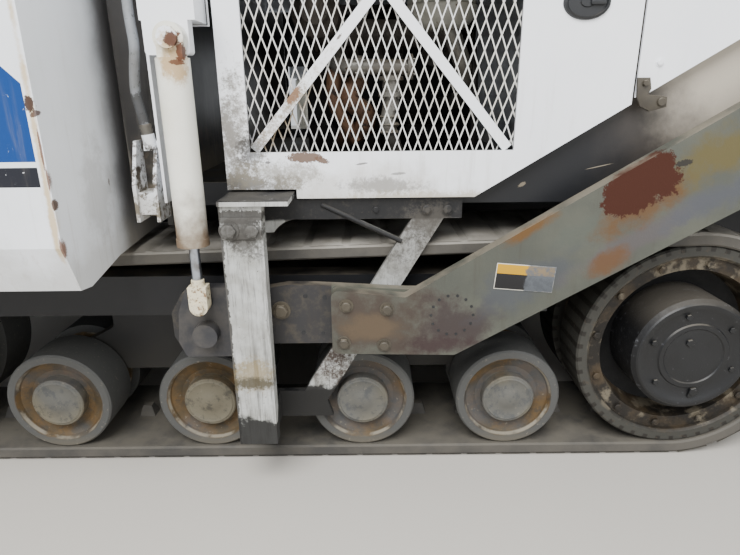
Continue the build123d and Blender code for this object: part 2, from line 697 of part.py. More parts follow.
def tow_barrel():
    barrel = bar((TOW_RAM_X, TOW_RAM_Y, TOW_RAM_LOW), (TOW_RAM_X, TOW_RAM_Y, TOW_RAM_TOP), TOW_RAM_R)
    barrel += bar((TOW_RAM_X, TOW_RAM_Y, TOW_RAM_LOW), (TOW_RAM_X, TOW_RAM_Y, TOW_RAM_LOW + 22),
                  TOW_RAM_R + 2)
    barrel += bar_y(TOW_RAM_Y - 20, TOW_RAM_Y + 20, TOW_RAM_X, TOW_EYE_Z, TOW_EYE_R)
    barrel += block(TOW_RAM_X - TOW_EYE_R + 6, TOW_RAM_X + TOW_EYE_R - 6, TOW_RAM_Y - 20, TOW_RAM_Y + 20,
                    TOW_RAM_TOP - 2, TOW_EYE_Z)
    barrel -= bar_y(TOW_RAM_Y - 30, TOW_RAM_Y + 30, TOW_RAM_X, TOW_EYE_Z, TOW_HEAD_PIN_R + SEAT)
    return barrel - bar((TOW_RAM_X, TOW_RAM_Y, TOW_RAM_LOW - 1), (TOW_RAM_X, TOW_RAM_Y, TOW_RAM_TOP - 30),
                        TOW_ROD_R + SEAT)


def tow_point():
    slide = side_plate([
        (COLUMN_REAR + COLUMN_WIDE + RUN + 1, 470), (680, 470), (700, 520), (690, 620), (660, 700),
        (COLUMN_REAR + COLUMN_WIDE + RUN + 1, 700),
    ], ARM_IN + RUN, ARM_OUT, corner=15)
    slide += bar_y(NOSE_IN - 8, COLUMN_OUT - 20, TOW_X, TOW_Z, TOW_PIN_R)
    low, high = TOW_RAM_Y - 22, TOW_RAM_Y + 22
    eye = bar_y(ARM_OUT - 2, high, TOW_RAM_X, CLEVIS_Z, CLEVIS_R)
    eye += block(TOW_RAM_X - CLEVIS_R, TOW_RAM_X + CLEVIS_R, low, high, CLEVIS_Z, CLEVIS_Z + CLEVIS_HIGH)
    eye += bar((TOW_RAM_X, TOW_RAM_Y, CLEVIS_Z), (TOW_RAM_X, TOW_RAM_Y, CLEVIS_Z + CLEVIS_HIGH + 18), 19)
    rod = bar((TOW_RAM_X, TOW_RAM_Y, CLEVIS_Z), (TOW_RAM_X, TOW_RAM_Y, 1180), TOW_ROD_R)
    return slide + eye + rod + bar_y(low, high + 12, TOW_RAM_X, CLEVIS_Z, 16)


def tow_arm():
    rise = math.tan(ARM_SLOPE)
    knee_top, knee_low = (-8, 662), (-165, 467)
    crest_top = (-1330, knee_top[1] + (knee_top[0] + 1330) * rise)
    crest_low = (-1390, knee_low[1] + (knee_low[0] + 1390) * math.tan(ARM_SLOPE_LOW))
    arm = side_plate([
        (220, 687), knee_top, crest_top, (crest_top[0] - 500, crest_top[1]), (SCREED_FRONT + 120, 800),
        (SCREED_REAR + 50, 720), (SCREED_REAR + 50, 330), (SCREED_FRONT, 330), (SCREED_FRONT + 240, 560),
        (crest_low[0] - 370, crest_low[1]), crest_low, knee_low,
        (220, 475),
    ], ARM_IN, ARM_OUT, corner=22)
    nose = side_plate([
        (-110, 490), (560, 490), (600, 455), (700, 455), (730, 520), (730, 600), (690, 668), (470, 672),
        (360, 690), (275, 689), (-17, 671), (-110, 671),
    ], NOSE_IN, ARM_IN + 1, corner=14)
    arm += nose
    arm -= bar_y(NOSE_IN - 1, ARM_IN + 3, TOW_X, TOW_Z, TOW_PIN_R + SEAT)
    x, z = LIFT_EYE
    arm += bar_y(ARM_OUT - 2, ARM_OUT + 6, x, z, 45)
    return arm


def hydraulic_hose():
    route = HOSE_ROUTE
    radii = []
    for before, here, after in zip(route, route[1:], route[2:]):
        a, b = Vector(*here) - Vector(*before), Vector(*after) - Vector(*here)
        run = min(a.length, b.length)
        radii.append(0.45 * run / math.tan(math.radians(a.get_angle(b)) / 2))
    print("hose radii", [round(r) for r in radii])
    path = FilletPolyline(*route, radius=radii)
    hose = sweep(Plane(origin=route[0], z_dir=path % 0) * Circle(HOSE_R), path)
    print("hose length", round(path.length), "volume share", hose.volume / (math.pi * HOSE_R**2 * path.length))
    return hose


# Hopper

def conveyor():
    half, top = FRAME_OUT - FRAME_T - SEAT, CONVEYOR_Z + CONVEYOR_T
    floor = block(CONVEYOR_REAR, CONVEYOR_FRONT, -half, half, CONVEYOR_Z, top)
    guard = cross_plate([(-45, top), (45, top), (12, top + 128), (-12, top + 128)], CONVEYOR_REAR + 110, CONVEYOR_FRONT)
    chains = None
    for y in CHAIN_PLACES:
        chain = block(CONVEYOR_REAR + 40, CONVEYOR_FRONT - 40, y - 15, y + 15, top, top + 28)
        chains = chain if chains is None else chains + chain
    for count in range(SLAT_COUNT):
        x = CONVEYOR_REAR + 100 + count * (CONVEYOR_FRONT - CONVEYOR_REAR - 220) / (SLAT_COUNT - 1)
        chains += block(x - 14, x + 14, 60, FRAME_OUT - FRAME_T - 20, top + 18, top + 46)
    return floor + guard + chains + mirrored(chains)


def hopper_back():
    return block(BULKHEAD_X + SEAT, WING_REAR - 8, -1000, 1000, RAIL_TOP + SEAT, WING_TOP - 30)


def hopper_flashing():
    return block(WING_FRONT + 12, WING_FRONT + 30, -FRAME_OUT, FRAME_OUT, RAIL_TOP + SEAT, RAIL_TOP + 180)


def hopper_wing():
    slope = (RAIL_TOP + 36 - WING_LOW) / (WING_OUT - 745)

    def under(y):
        return WING_LOW + (WING_OUT - y) * slope

    # The plate's low outer edge is folded under
    fold = [(WING_KNEE, under(WING_KNEE)), *WING_FOLD]
    lining = [(y - WING_T * in_y, z + WING_T * in_z) for (y, z), (in_y, in_z) in zip(
        fold, ((0, 1), (0.1, 1), (0.7, 1), (1, 0.2)))]
    wing = side_plate([
        (WING_REAR, fold[-1][1]), (WING_FRONT, fold[-1][1]), (WING_FRONT, 1230), (2620, WING_TOP),
        (WING_REAR, WING_TOP),
    ], WING_OUT - WING_T, WING_OUT)
    wing += cross_plate([
        (745, under(745)), fold[0], lining[0], (745, under(745) + WING_T),
    ], WING_REAR, WING_FRONT)
    wing += cross_plate([*fold, *reversed(lining)], WING_REAR, WING_FRONT)
    wing += cross_plate([
        (760, under(760) + 2), *fold, (WING_OUT, WING_TOP), (1050, WING_TOP), (760, 1250),
    ], WING_REAR, WING_REAR + WING_T)
    wing += cross_plate([
        (760, under(760) + 2), *fold, (WING_OUT, 1230), (1500, 1150), (760, 960),
    ], WING_FRONT - WING_T, WING_FRONT)
    wing += block(WING_REAR, 2620, WING_OUT - 60, WING_OUT, WING_TOP - 12, WING_TOP)
    clear = WING_LUG_T / 2 + 2
    for rear, front in zip(WING_LUGS, WING_LUGS[1:]):
        x0, x1 = rear + clear, front - clear
        wing += bar_x(x0, x1, WING_PIN_Y, WING_PIN_Z, WING_TUBE_R)
        wing += block(x0, x1, WING_PIN_Y, 750, WING_PIN_Z - 6, WING_PIN_Z + 6)
    y, z = RAM_EYE
    for x, boss in ((RAM_X - RAM_LUG_IN - RAM_LUG_T, -1), (RAM_X + RAM_LUG_IN, 1)):
        wing += cross_plate([
            (y - 55, under(y) + 4), (y - 34, z - 40), (y + 28, z - 40), (y + 45, under(y) + 4),
        ], x, x + RAM_LUG_T)
        face = x + RAM_LUG_T / 2 + boss * RAM_LUG_T / 2
        wing += bar_x(min(face, face + boss * 8) - 1, max(face, face + boss * 8), y, z, RAM_PIN_R + 6)
    return wing - bar_x(WING_REAR - 1, WING_FRONT + 1, WING_PIN_Y, WING_PIN_Z, WING_PIN_R + SEAT)


def ram_line():
    (fy, fz), (ey, ez) = RAM_FOOT, RAM_EYE
    length = math.hypot(ey - fy, ez - fz)
    uy, uz = (ey - fy) / length, (ez - fz) / length
    return (lambda s: (RAM_X, fy + uy * s, fz + uz * s)), length


def wing_barrel():
    at = ram_line()[0]
    y, z = RAM_FOOT
    barrel = bar(at(50), at(430), RAM_R) + bar_x(RAM_X - 14, RAM_X + 14, y, z, RAM_EYE_R)
    barrel += bar(at(0), at(60), 13)
    barrel -= bar_x(RAM_X - 20, RAM_X + 20, y, z, RAM_PIN_R + SEAT)
    return barrel - bar(at(150), at(440), RAM_ROD_R + SEAT)


def wing_rod():
    at, length = ram_line()
    y, z = RAM_EYE
    rod = bar(at(160), at(length - 10), RAM_ROD_R)
    rod += bar_x(RAM_X - 11, RAM_X + 11, y, z, RAM_EYE_R)
    rod -= block(RAM_X - 40, RAM_X - 11, y - 60, y + 60, z - 60, z + 60)
    rod -= block(RAM_X + 11, RAM_X + 40, y - 60, y + 60, z - 60, z + 60)
    return rod + bar_x(RAM_X - RAM_LUG_IN + SEAT, RAM_X + RAM_LUG_IN - SEAT, y, z, RAM_PIN_R)


def push_beam():
    low, high = PUSH_Z - 80, PUSH_Z + 80
    half = PUSH_OUT + 70
    beam = block(PUSH_BAR_REAR, PUSH_BAR_FRONT, -half, half, low, high)
    beam += block(PUSH_PIVOT_X - 30, PUSH_BAR_REAR + 10, -60, 60, 460, 540)
    beam += bar((PUSH_PIVOT_X, 0, 460), (PUSH_PIVOT_X, 0, 540), 45)
    beam -= bar((PUSH_PIVOT_X, 0, 400), (PUSH_PIVOT_X, 0, 600), 25 + SEAT)
    root, tip = PUSH_BAR_FRONT - 10, PUSH_X + 50
    for y in (PUSH_IN - PUSH_EAR - 8, PUSH_OUT + 8):
        ear = side_plate([
            (root, PUSH_Z - 70), (PUSH_X, PUSH_Z - 70), (tip, PUSH_Z - 40), (tip, PUSH_Z + 40),
            (PUSH_X, PUSH_Z + 70), (root, PUSH_Z + 70),
        ], y, y + PUSH_EAR, corner=20)
        beam += ear + mirrored(ear)
    axle = bar_y(PUSH_IN - 25, PUSH_OUT + 25, PUSH_X, PUSH_Z, PUSH_AXLE_R)
    return beam + axle + mirrored(axle)


def push_roller():
    roller = bar_y(PUSH_IN, PUSH_OUT, PUSH_X, PUSH_Z, PUSH_R)
    return roller - bar_y(PUSH_IN - 1, PUSH_OUT + 1, PUSH_X, PUSH_Z, PUSH_AXLE_R + 0.06)


# Operator's platform

def operator_deck():
    deck = block(-1960, FIREWALL_X - 2, -PANEL_OUT, PANEL_OUT, PANEL_TOP + SEAT, DECK_TOP)
    for y in (-PANEL_OUT, PANEL_OUT - 12):
        deck += block(-1960, FIREWALL_X - 2, y, y + 12, DECK_TOP - 5, DECK_TOP + 90)
    return deck


def seat_frames():
    frames = []
    for y in SEATS:
        base = block(SEAT_X - 130, SEAT_X + 130, y - 130, y + 130, DECK_TOP + SEAT, DECK_TOP + 40)
        base += block(SEAT_X - 70, SEAT_X + 70, y - 70, y + 70, DECK_TOP + 30, CUSHION_Z - 30)
        base += block(SEAT_X - 210, SEAT_X + 210, y - 210, y + 210, CUSHION_Z - 40, CUSHION_Z - SEAT)
        base += block(SEAT_X - 240, SEAT_X - 205, y - 60, y + 60, CUSHION_Z - 40, CUSHION_Z + 260)
        frames.append(base)
    return group(*frames)


def seat_cushions():
    cushions = []
    for y in SEATS:
        cushions.append(block(SEAT_X - 200, SEAT_X + 240, y - 235, y + 235, CUSHION_Z, CUSHION_Z + 110))
        cushions.append(block(SEAT_X - 205 + SEAT, SEAT_X - 110, y - 225, y + 225,
                              CUSHION_Z + 112, CUSHION_Z + 560))
    return group(*cushions)


def control_consoles():
    consoles = []
    for y in SEATS:
        console = side_plate([
            (-1000, DECK_TOP + SEAT), (-800, DECK_TOP + SEAT), (-800, 2640), (-860, 2680), (-1120, 2560),
            (-1100, 2500), (-980, 2480),
        ], y - 260, y + 260, corner=8)
        consoles.append(console)
    return group(*consoles)


def handrails():
    low, middle, top = DECK_TOP + SEAT, DECK_TOP + 500, DECK_TOP + 1000
    loops = []
    for side in (1, -1):
        near, far = side * RAIL_GAP, side * RAIL_HALF
        loop = bar((RAIL_X, near, low), (RAIL_X, near, top), RAIL_R)
        for x, y in ((RAIL_X, side * (RAIL_GAP + RAIL_HALF) / 2), (RAIL_X, far), (RAIL_FRONT, far)):
            loop += bar((x, y, low), (x, y, top), RAIL_R)
        for z in (middle, top):
            loop += bar_y(min(near, far), max(near, far), RAIL_X, z, RAIL_R)
            loop += bar_x(RAIL_X, RAIL_FRONT, far, z, RAIL_R)
            for x, y in ((RAIL_X, near), (RAIL_X, far), (RAIL_FRONT, far)):
                loop += Pos(x, y, z) * Sphere(RAIL_R)
        loops.append(loop)
    return group(*loops)


# Steps on the rear wall, up to the gap between the handrails
def rear_ladder():
    wall = FRAME_REAR - SEAT
    ladder = None
    for side in (1, -1):
        y = side * LADDER_HALF
        stile = side_plate([
            (wall, LADDER_LEVELS[0] - 90), (wall, PANEL_TOP - 60), (wall - 30, PANEL_TOP - 60),
            (wall - LADDER_DEEP, PANEL_TOP - 130), (wall - LADDER_DEEP, LADDER_LEVELS[0] - 60),
            (wall - 50, LADDER_LEVELS[0] - 90),
        ], y - 6, y + 6)
        ladder = stile if ladder is None else ladder + stile
    for z in LADDER_LEVELS:
        tread = block(wall - LADDER_DEEP + 4, wall - 12, -LADDER_HALF, LADDER_HALF, z - 28, z)
        for count in range(5):
            y = (count - 2) * 88
            tread -= block(wall - LADDER_DEEP + 22, wall - 30, y - 28, y + 28, z - 30, z + 1)
        ladder += tread
    return ladder


def roof_section(drop, inset):
    half, low, top = ROOF_HALF - inset, ROOF_TOP - ROOF_LIP - (1 if inset else 0), ROOF_TOP - inset
    return [(-half, low), (-half, top - 60 + drop), (-half + 160, top), (half - 160, top), (half, top - 60 + drop),
            (half, low)]


def canopy():
    roof = cross_plate(roof_section(0, 0), ROOF_REAR, ROOF_FRONT)
    roof -= cross_plate(roof_section(6, ROOF_T), ROOF_REAR + ROOF_T, ROOF_FRONT - ROOF_T)
    for x in ROOF_RIBS:
        roof += block(x - 25, x + 25, -ROOF_HALF + 150, ROOF_HALF - 150, ROOF_TOP - 60, ROOF_TOP - ROOF_T + 1)
    for x in ROOF_POSTS:
        for y in (-ROOF_POST_Y, ROOF_POST_Y):
            roof += block(x - 35, x + 35, y - 35, y + 35, DECK_TOP + SEAT, ROOF_TOP - ROOF_T + 1)
            lean = 1 if x == ROOF_POSTS[-1] else -1
            gusset = side_plate([(x, ROOF_TOP - 300), (x, ROOF_TOP - 40), (x - lean * 200, ROOF_TOP - 40)], y - 6, y + 6)
            roof += gusset
    return roof


def exhaust_stack():
    (x, y), r, bend = EXHAUST, EXHAUST_R, 90.0
    low, crown = HOOD_TOP + SEAT, EXHAUST_TOP - bend
    path = Polyline((x, y, low), (x, y, crown)) + ThreePointArc(
        (x, y, crown), (x - bend * (1 - math.cos(math.pi / 8)), y, crown + bend * math.sin(math.pi / 8)),
        (x - bend * (1 - math.cos(math.pi / 4)), y, crown + bend * math.sin(math.pi / 4)))
    lean = Vector(-1, 0, 1).normalized()
    tip = path @ 1
    path += Line(tip, tip + lean * 90)
    pipe = sweep(Plane(origin=(x, y, low), z_dir=(0, 0, 1)) * Circle(r), path)
    bore = bar(tuple(tip - lean * 20), tuple(tip + lean * 95), r - 6)
    flange = bar((x, y, low), (x, y, low + 20), r + 32)
    muffler = bar((x, y, low + 60), (x, y, low + 430), r + 30)
    return pipe + flange + muffler - bore


def work_lamps():
    lamps = []
    low, high = ROOF_TOP - 115, ROOF_TOP - 15
    for wall, out in ((ROOF_FRONT + SEAT, 1), (ROOF_REAR - SEAT, -1)):
        for y in (LAMP_Y, -LAMP_Y):
            front = wall + out * LAMP_DEEP
            near, far = sorted((wall + out * 22, front))
            lamp = block(near, far, y - LAMP_WIDE / 2, y + LAMP_WIDE / 2, low, high)
            lamp = fillet(lamp.edges(), 8)
            foot = sorted((wall, wall + out * 30))
            lamps.append(lamp + block(foot[0], foot[1], y - 35, y + 35, low + 20, high - 20))
    return group(*lamps)


# Augers

def auger_frame():
    low, high = AUGER_BEAM_LOW, AUGER_BEAM_LOW + 90
    frame = block(AUGER_BEAM_REAR, AUGER_BEAM_FRONT, -AUGER_END, AUGER_END, low, high)
    for y in (FRAME_OUT - FRAME_T - 60, -FRAME_OUT + FRAME_T):
        frame += block(AUGER_BEAM_FRONT - 5, FRAME_REAR - SEAT, y, y + 60, low - 10, high)
    rear, front = AUGER_X - 60, AUGER_X + 60
    for y0, y1 in ((AUGER_END - 25, AUGER_END), (-AUGER_END, 25 - AUGER_END)):
        frame += side_plate([
            (AUGER_BEAM_FRONT, high), (AUGER_BEAM_FRONT, low), (front, AUGER_Z - 50), (rear, AUGER_Z - 50),
            (rear, AUGER_Z + 70), (AUGER_BEAM_REAR, high),
        ], y0, y1, corner=15)
    frame += side_plate([
        (AUGER_BEAM_FRONT - 5, high), (AUGER_BEAM_FRONT - 5, low), (front + 70, AUGER_Z - 70),
        (rear - 20, AUGER_Z - 100), (rear - 30, AUGER_Z + 90), (AUGER_BEAM_REAR - 55, high),
    ], -60, 60, corner=25)
    for y0, y1 in ((60 - 5, AUGER_IN + 30), (AUGER_OUT - 30, AUGER_END - 20)):
        frame += bar_y(y0, y1, AUGER_X, AUGER_Z, 20)
        frame += bar_y(-y1, -y0, AUGER_X, AUGER_Z, 20)
    return frame


def auger():
    screw = bar_y(AUGER_IN, AUGER_OUT, AUGER_X, AUGER_Z, AUGER_SHAFT_R)
    pitch = (AUGER_OUT - AUGER_IN - 60) / AUGER_TURNS
    tilt = math.degrees(math.atan(pitch / 2 / (2 * 120)))
    ring = Circle(AUGER_R) - Circle(AUGER_SHAFT_R - 8)
    half = extrude(ring & Pos(AUGER_R, 0) * Rectangle(2 * AUGER_R, 2.2 * AUGER_R), 6, both=True)
    for count in range(2 * AUGER_TURNS):
        y = AUGER_IN + 30 + (count + 0.5) * pitch / 2
        blade = Rot(0, 0, 180 * (count % 2)) * Rot(tilt, 0, 0) * half
        screw += Pos(AUGER_X, y, AUGER_Z) * Rot(-90, 0, 0) * blade
    for y in (AUGER_IN, AUGER_OUT):
        screw -= bar_y(y - 35, y + 35, AUGER_X, AUGER_Z, 20 + 0.06)
    return screw


# Screed

def screed_main():
    low = SCREED_LOW
    body = side_plate([
        (SCREED_FRONT, low + 30), (SCREED_FRONT - 30, low), (SCREED_REAR, low), (SCREED_REAR, low + 330),
        (SCREED_REAR + 60, low + 420), (SCREED_FRONT - 120, low + 420), (SCREED_FRONT, low + 300),
    ], -SCREED_HALF, SCREED_HALF)
    for y in (0, 1330):
        for side in ((1, -1) if y else (1,)):
            y0, y1 = sorted((side * (y - 12), side * (y + 12)))
            body += block(TUBE_X - 45, SCREED_REAR + 10, y0, y1, low + 60, low + 360)
    for z in TUBE_LEVELS:
        body += bar_y(-1330, 1330, TUBE_X, low + z, TUBE_R)
    return hook_up(body)


def screed_extension():
    low = SCREED_LOW
    body = side_plate([
        (EXTENSION_FRONT, low + 20), (EXTENSION_FRONT - 20, low), (EXTENSION_REAR, low),
        (EXTENSION_REAR, low + 300), (EXTENSION_REAR + 40, low + 370), (EXTENSION_FRONT, low + 370),
    ], 40, EXTENSION_OUT)
    sleeve = block(EXTENSION_FRONT - 5, TUBE_X + 50, 60, 260, low + 70, low + 370)
    for z in TUBE_LEVELS:
        sleeve -= bar_y(50, 270, TUBE_X, low + z, TUBE_R + 0.5)
    gate = side_plate([
        (-2450, low), (EXTENSION_REAR - 20, low), (EXTENSION_REAR - 20, low + 380), (-2600, low + 380),
        (-2450, low + 260),
    ], EXTENSION_OUT - 1, EXTENSION_OUT + GATE_T)
    step = block(STEP_REAR, EXTENSION_REAR + 2, 60, EXTENSION_OUT, low + 50, low + 80)
    for count in range(GRATE_COUNT):
        y = 110 + count * (EXTENSION_OUT - 160) / GRATE_COUNT
        step -= block(STEP_REAR + 16, EXTENSION_REAR - 14, y, y + GRATE_WIDE, low + 49, low + 81)
    handle_x, handle_top = EXTENSION_REAR + 60, low + 760
    handle = bar((handle_x, EXTENSION_OUT - 60, low + 350), (handle_x, EXTENSION_OUT - 60, handle_top), 14)
    handle += bar((handle_x, EXTENSION_OUT - 300, low + 350), (handle_x, EXTENSION_OUT - 300, handle_top), 14)
    handle += bar_y(EXTENSION_OUT - 300, EXTENSION_OUT - 60, handle_x, handle_top, 14)
    for y in (EXTENSION_OUT - 300, EXTENSION_OUT - 60):
        handle += Pos(handle_x, y, handle_top) * Sphere(14)
    return hook_up(body + sleeve + gate + step + handle)


# Lift cylinders between the rear wall and the towing arms

def lift_line():
    (tx, tz), (ex, ez) = LIFT_TOP, LIFT_EYE
    length = math.hypot(ex - tx, ez - tz)
    ux, uz = (ex - tx) / length, (ez - tz) / length
    return (lambda s: (tx + ux * s, LIFT_Y, tz + uz * s)), length


def lift_bracket():
    x, z = LIFT_TOP
    beam = block(x - 40, FRAME_REAR - SEAT, 1250, LIFT_Y + 45, z + 45, z + 85)
    for y in (LIFT_Y - 38, LIFT_Y + 22):
        beam += side_plate([(x - 32, z - 30), (x + 32, z - 30), (x + 32, z + 50), (x - 32, z + 50)],
                           y, y + 16, corner=12)
    return beam + bar_y(LIFT_Y - 38, LIFT_Y + 38, x, z, 15)


def lift_barrel():
    at = lift_line()[0]
    x, z = LIFT_TOP
    barrel = bar(at(45), at(580), LIFT_R)
    barrel += bar(at(0), at(60), 18)
    barrel += bar_y(LIFT_Y - 20, LIFT_Y + 20, x, z, 30)
    barrel -= bar_y(LIFT_Y - 30, LIFT_Y + 30, x, z, 15 + SEAT)
    return barrel - bar(at(150), at(590), LIFT_ROD_R + SEAT)


def lift_rod():
    at, length = lift_line()
    x, z = LIFT_EYE
    rod = bar(at(300), at(length), LIFT_ROD_R)
    rod += bar_y(LIFT_Y - 20, LIFT_Y + 20, x, z, 32)
    rod += bar_y(ARM_OUT + 6 + SEAT, LIFT_Y + 26, x, z, 16)
    return rod


def main():
    os.makedirs("parts", exist_ok=True)
    left_only = {
        "track_belt": track_belt(),
        "hopper_wing": hopper_wing(),
        "wing_barrel": wing_barrel(),
        "wing_rod": wing_rod(),
        "push_roller": push_roller(),
        "engine_door": engine_door(),
        "door_grille": door_grille(),
        "tow_arm": tow_arm(),
        "screed_extension": screed_extension(),
        "auger": auger(),
    }
    nodes = {
        "main_frame": main_frame(),
        "track_frames": both(track_frame()),
        "drive_wheels": both(drive_wheel()),
        "track_rollers": both(track_rollers()),
        "engine_block": engine_block(),
        "engine_fittings": engine_fittings(),
        "engine_housing": engine_housing(),
        "engine_hood": engine_hood(),
        "rear_housing": rear_housing(),
        "tow_guides": both(tow_guide()),
        "tow_brackets": both(tow_bracket()),
        "tow_barrels": both(tow_barrel()),
        "tow_points": both(tow_point()),
        "hydraulic_hose": hydraulic_hose(),
        "conveyor": conveyor(),
        "hopper_back": hopper_back(),
        "hopper_flashing": hopper_flashing(),
        "push_beam": push_beam(),
        "operator_deck": operator_deck(),
        "seat_frames": seat_frames(),
        "seat_cushions": seat_cushions(),
        "control_consoles": control_consoles(),
        "handrails": handrails(),
        "canopy": canopy(),
        "rear_ladder": rear_ladder(),
        "exhaust_stack": exhaust_stack(),
        "work_lamps": work_lamps(),
        "auger_frame": auger_frame(),
        "screed_main": screed_main(),
        "lift_brackets": both(lift_bracket()),
        "lift_barrels": both(lift_barrel()),
        "lift_rods": both(lift_rod()),
    }
    for name, piece in left_only.items():
        nodes[name + "_left"] = piece
        nodes[name + "_right"] = mirrored(piece)
    for name, piece in nodes.items():
        export_step(group(piece), f"parts/{name}.step")
    whole = Compound([solid for piece in nodes.values() for solid in piece.solids()]).bounding_box()
    print(len(nodes), "nodes", whole.min, whole.max)


main()
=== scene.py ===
import json
import math

import bmesh
import bpy
from mathutils import Matrix, Vector

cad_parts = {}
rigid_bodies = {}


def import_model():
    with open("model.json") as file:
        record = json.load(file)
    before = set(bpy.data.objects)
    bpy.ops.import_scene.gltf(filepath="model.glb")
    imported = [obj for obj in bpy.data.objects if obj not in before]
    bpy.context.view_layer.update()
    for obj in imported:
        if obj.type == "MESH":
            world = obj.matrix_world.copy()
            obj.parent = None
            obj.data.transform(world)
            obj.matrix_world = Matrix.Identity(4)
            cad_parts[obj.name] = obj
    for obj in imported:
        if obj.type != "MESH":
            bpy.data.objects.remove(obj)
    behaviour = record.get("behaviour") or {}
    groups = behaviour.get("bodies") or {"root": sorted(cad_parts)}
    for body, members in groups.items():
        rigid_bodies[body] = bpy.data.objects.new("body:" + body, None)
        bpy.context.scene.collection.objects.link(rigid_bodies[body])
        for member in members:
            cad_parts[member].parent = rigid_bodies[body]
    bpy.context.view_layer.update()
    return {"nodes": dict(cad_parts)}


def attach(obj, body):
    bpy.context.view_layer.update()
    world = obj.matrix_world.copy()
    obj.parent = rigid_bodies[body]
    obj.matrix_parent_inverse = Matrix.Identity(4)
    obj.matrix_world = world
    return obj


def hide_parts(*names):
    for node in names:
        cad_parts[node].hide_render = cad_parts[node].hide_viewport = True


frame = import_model()
nodes = frame["nodes"]
print("frame loaded:", len(nodes), "nodes")

sides = (("left", 1), ("right", -1))


def linked(name, data):
    made = bpy.data.objects.new(name, data)
    bpy.context.scene.collection.objects.link(made)
    return made


# Camera, light and floor

cameraLook = {
    "place": (0.10, 3.01, 1.26), "lens": 27.05,
    "down": 18.5, "roll": 0.57,  # degrees
}

lightLook = {
    "sky": (0.86, 0.90, 0.95, 1), "skyStrength": 1.0,
    # place, size, power, target
    "keyLight": ((1.5, 6.5, 7.5), 6.0, 1330.0, (0, 1, 0.8)),
    "fillLight": ((-3.5, 5.5, 2.2), 3.0, 60.0, (-0.3, 1.2, 0.5)),
    "floorSize": 40.0, "floorColor": (0.52, 0.49, 0.44, 1), "floorRough": 0.9,
}


def makeCamera():
    camera = linked("camera", bpy.data.cameras.new("camera"))
    camera.data.lens = cameraLook["lens"]
    camera.data.sensor_width = 36
    camera.data.clip_end = 200
    camera.matrix_world = (
        Matrix.Translation(cameraLook["place"])
        @ Matrix.Rotation(math.pi, 4, "Z")
        @ Matrix.Rotation(math.radians(90 - cameraLook["down"]), 4, "X")
        @ Matrix.Rotation(math.radians(-cameraLook["roll"]), 4, "Z"))
    bpy.context.scene.camera = camera


def makeLamp(name):
    place, size, power, target = lightLook[name]
    lamp = linked(name, bpy.data.lights.new(name, "AREA"))
    lamp.data.shape = "DISK"
    lamp.data.size = size
    lamp.data.energy = power
    turn = (Vector(place) - Vector(target)).to_track_quat("Z", "Y")
    lamp.matrix_world = Matrix.Translation(place) @ turn.to_matrix().to_4x4()


def makeStudio():
    world = bpy.data.worlds.new("studio")
    world.use_nodes = True
    sky = world.node_tree.nodes["Background"]
    sky.inputs["Color"].default_value = lightLook["sky"]
    sky.inputs["Strength"].default_value = lightLook["skyStrength"]
    bpy.context.scene.world = world
    makeLamp("keyLight")
    makeLamp("fillLight")
    shape = bmesh.new()
    bmesh.ops.create_grid(shape, x_segments=1, y_segments=1, size=lightLook["floorSize"] / 2)
    mesh = bpy.data.meshes.new("floor")
    shape.to_mesh(mesh)
    shape.free()
    paint = bpy.data.materials.new("floorPaint")
    paint.use_nodes = True
    shader = paint.node_tree.nodes["Principled BSDF"]
    shader.inputs["Base Color"].default_value = lightLook["floorColor"]
    shader.inputs["Roughness"].default_value = lightLook["floorRough"]
    mesh.materials.append(paint)
    linked("floor", mesh)


makeCamera()
makeStudio()
print("camera and studio made")


# Node trees. A field is a number in a tree, and what is worked out with it becomes nodes.

def byNode(operation):
    return lambda field, other: field.home.sums(operation, field, other)


class Field:
    __add__ = byNode("ADD")
    __sub__ = byNode("SUBTRACT")
    __mul__ = byNode("MULTIPLY")
    __truediv__ = byNode("DIVIDE")
    __mod__ = byNode("MODULO")
    __or__ = byNode("MAXIMUM")
    __and__ = byNode("MINIMUM")
    __lt__ = byNode("LESS_THAN")
    __gt__ = byNode("GREATER_THAN")

    def __init__(self, home, socket):
        self.home, self.socket = home, socket

    def __abs__(self):
        return self.home.sums("ABSOLUTE", self)

    # 0 at low and 1 at high, with a smooth step between
    def span(self, low, high):
        inputs = {"Value": self, "From Min": low, "From Max": high}
        return self.home.node("ShaderNodeMapRange", inputs, interpolation_type="SMOOTHSTEP")


class Tree:
    def fill(self, socket, value):
        if isinstance(value, Field):
            self.tree.links.new(value.socket, socket)
        else:
            socket.default_value = value

    def node(self, kind, inputs=(), out=0, **settings):
        made = self.tree.nodes.new(kind)
        for key, value in settings.items():
            setattr(made, key, value)
        for key, value in dict(inputs).items():
            self.fill(made.inputs[key], value)
        return Field(self, made.outputs[out])

    def sums(self, operation, *values):
        return self.node("ShaderNodeMath", enumerate(values), operation=operation)

    def vector(self, x=0.0, y=0.0, z=0.0):
        return self.node("ShaderNodeCombineXYZ", {0: x, 1: y, 2: z})

    def split(self, vector):
        made = self.node("ShaderNodeSeparateXYZ", {"Vector": vector}).socket.node
        return [Field(self, socket) for socket in made.outputs]


# Finishes. A look is what a user would change; weathered() turns it into nodes.

def shade(code):
    parts = [int(code[i:i + 2], 16) / 255 for i in (0, 2, 4)]
    return (*[c / 12.92 if c < 0.04045 else ((c + 0.055) / 1.055) ** 2.4 for c in parts], 1)


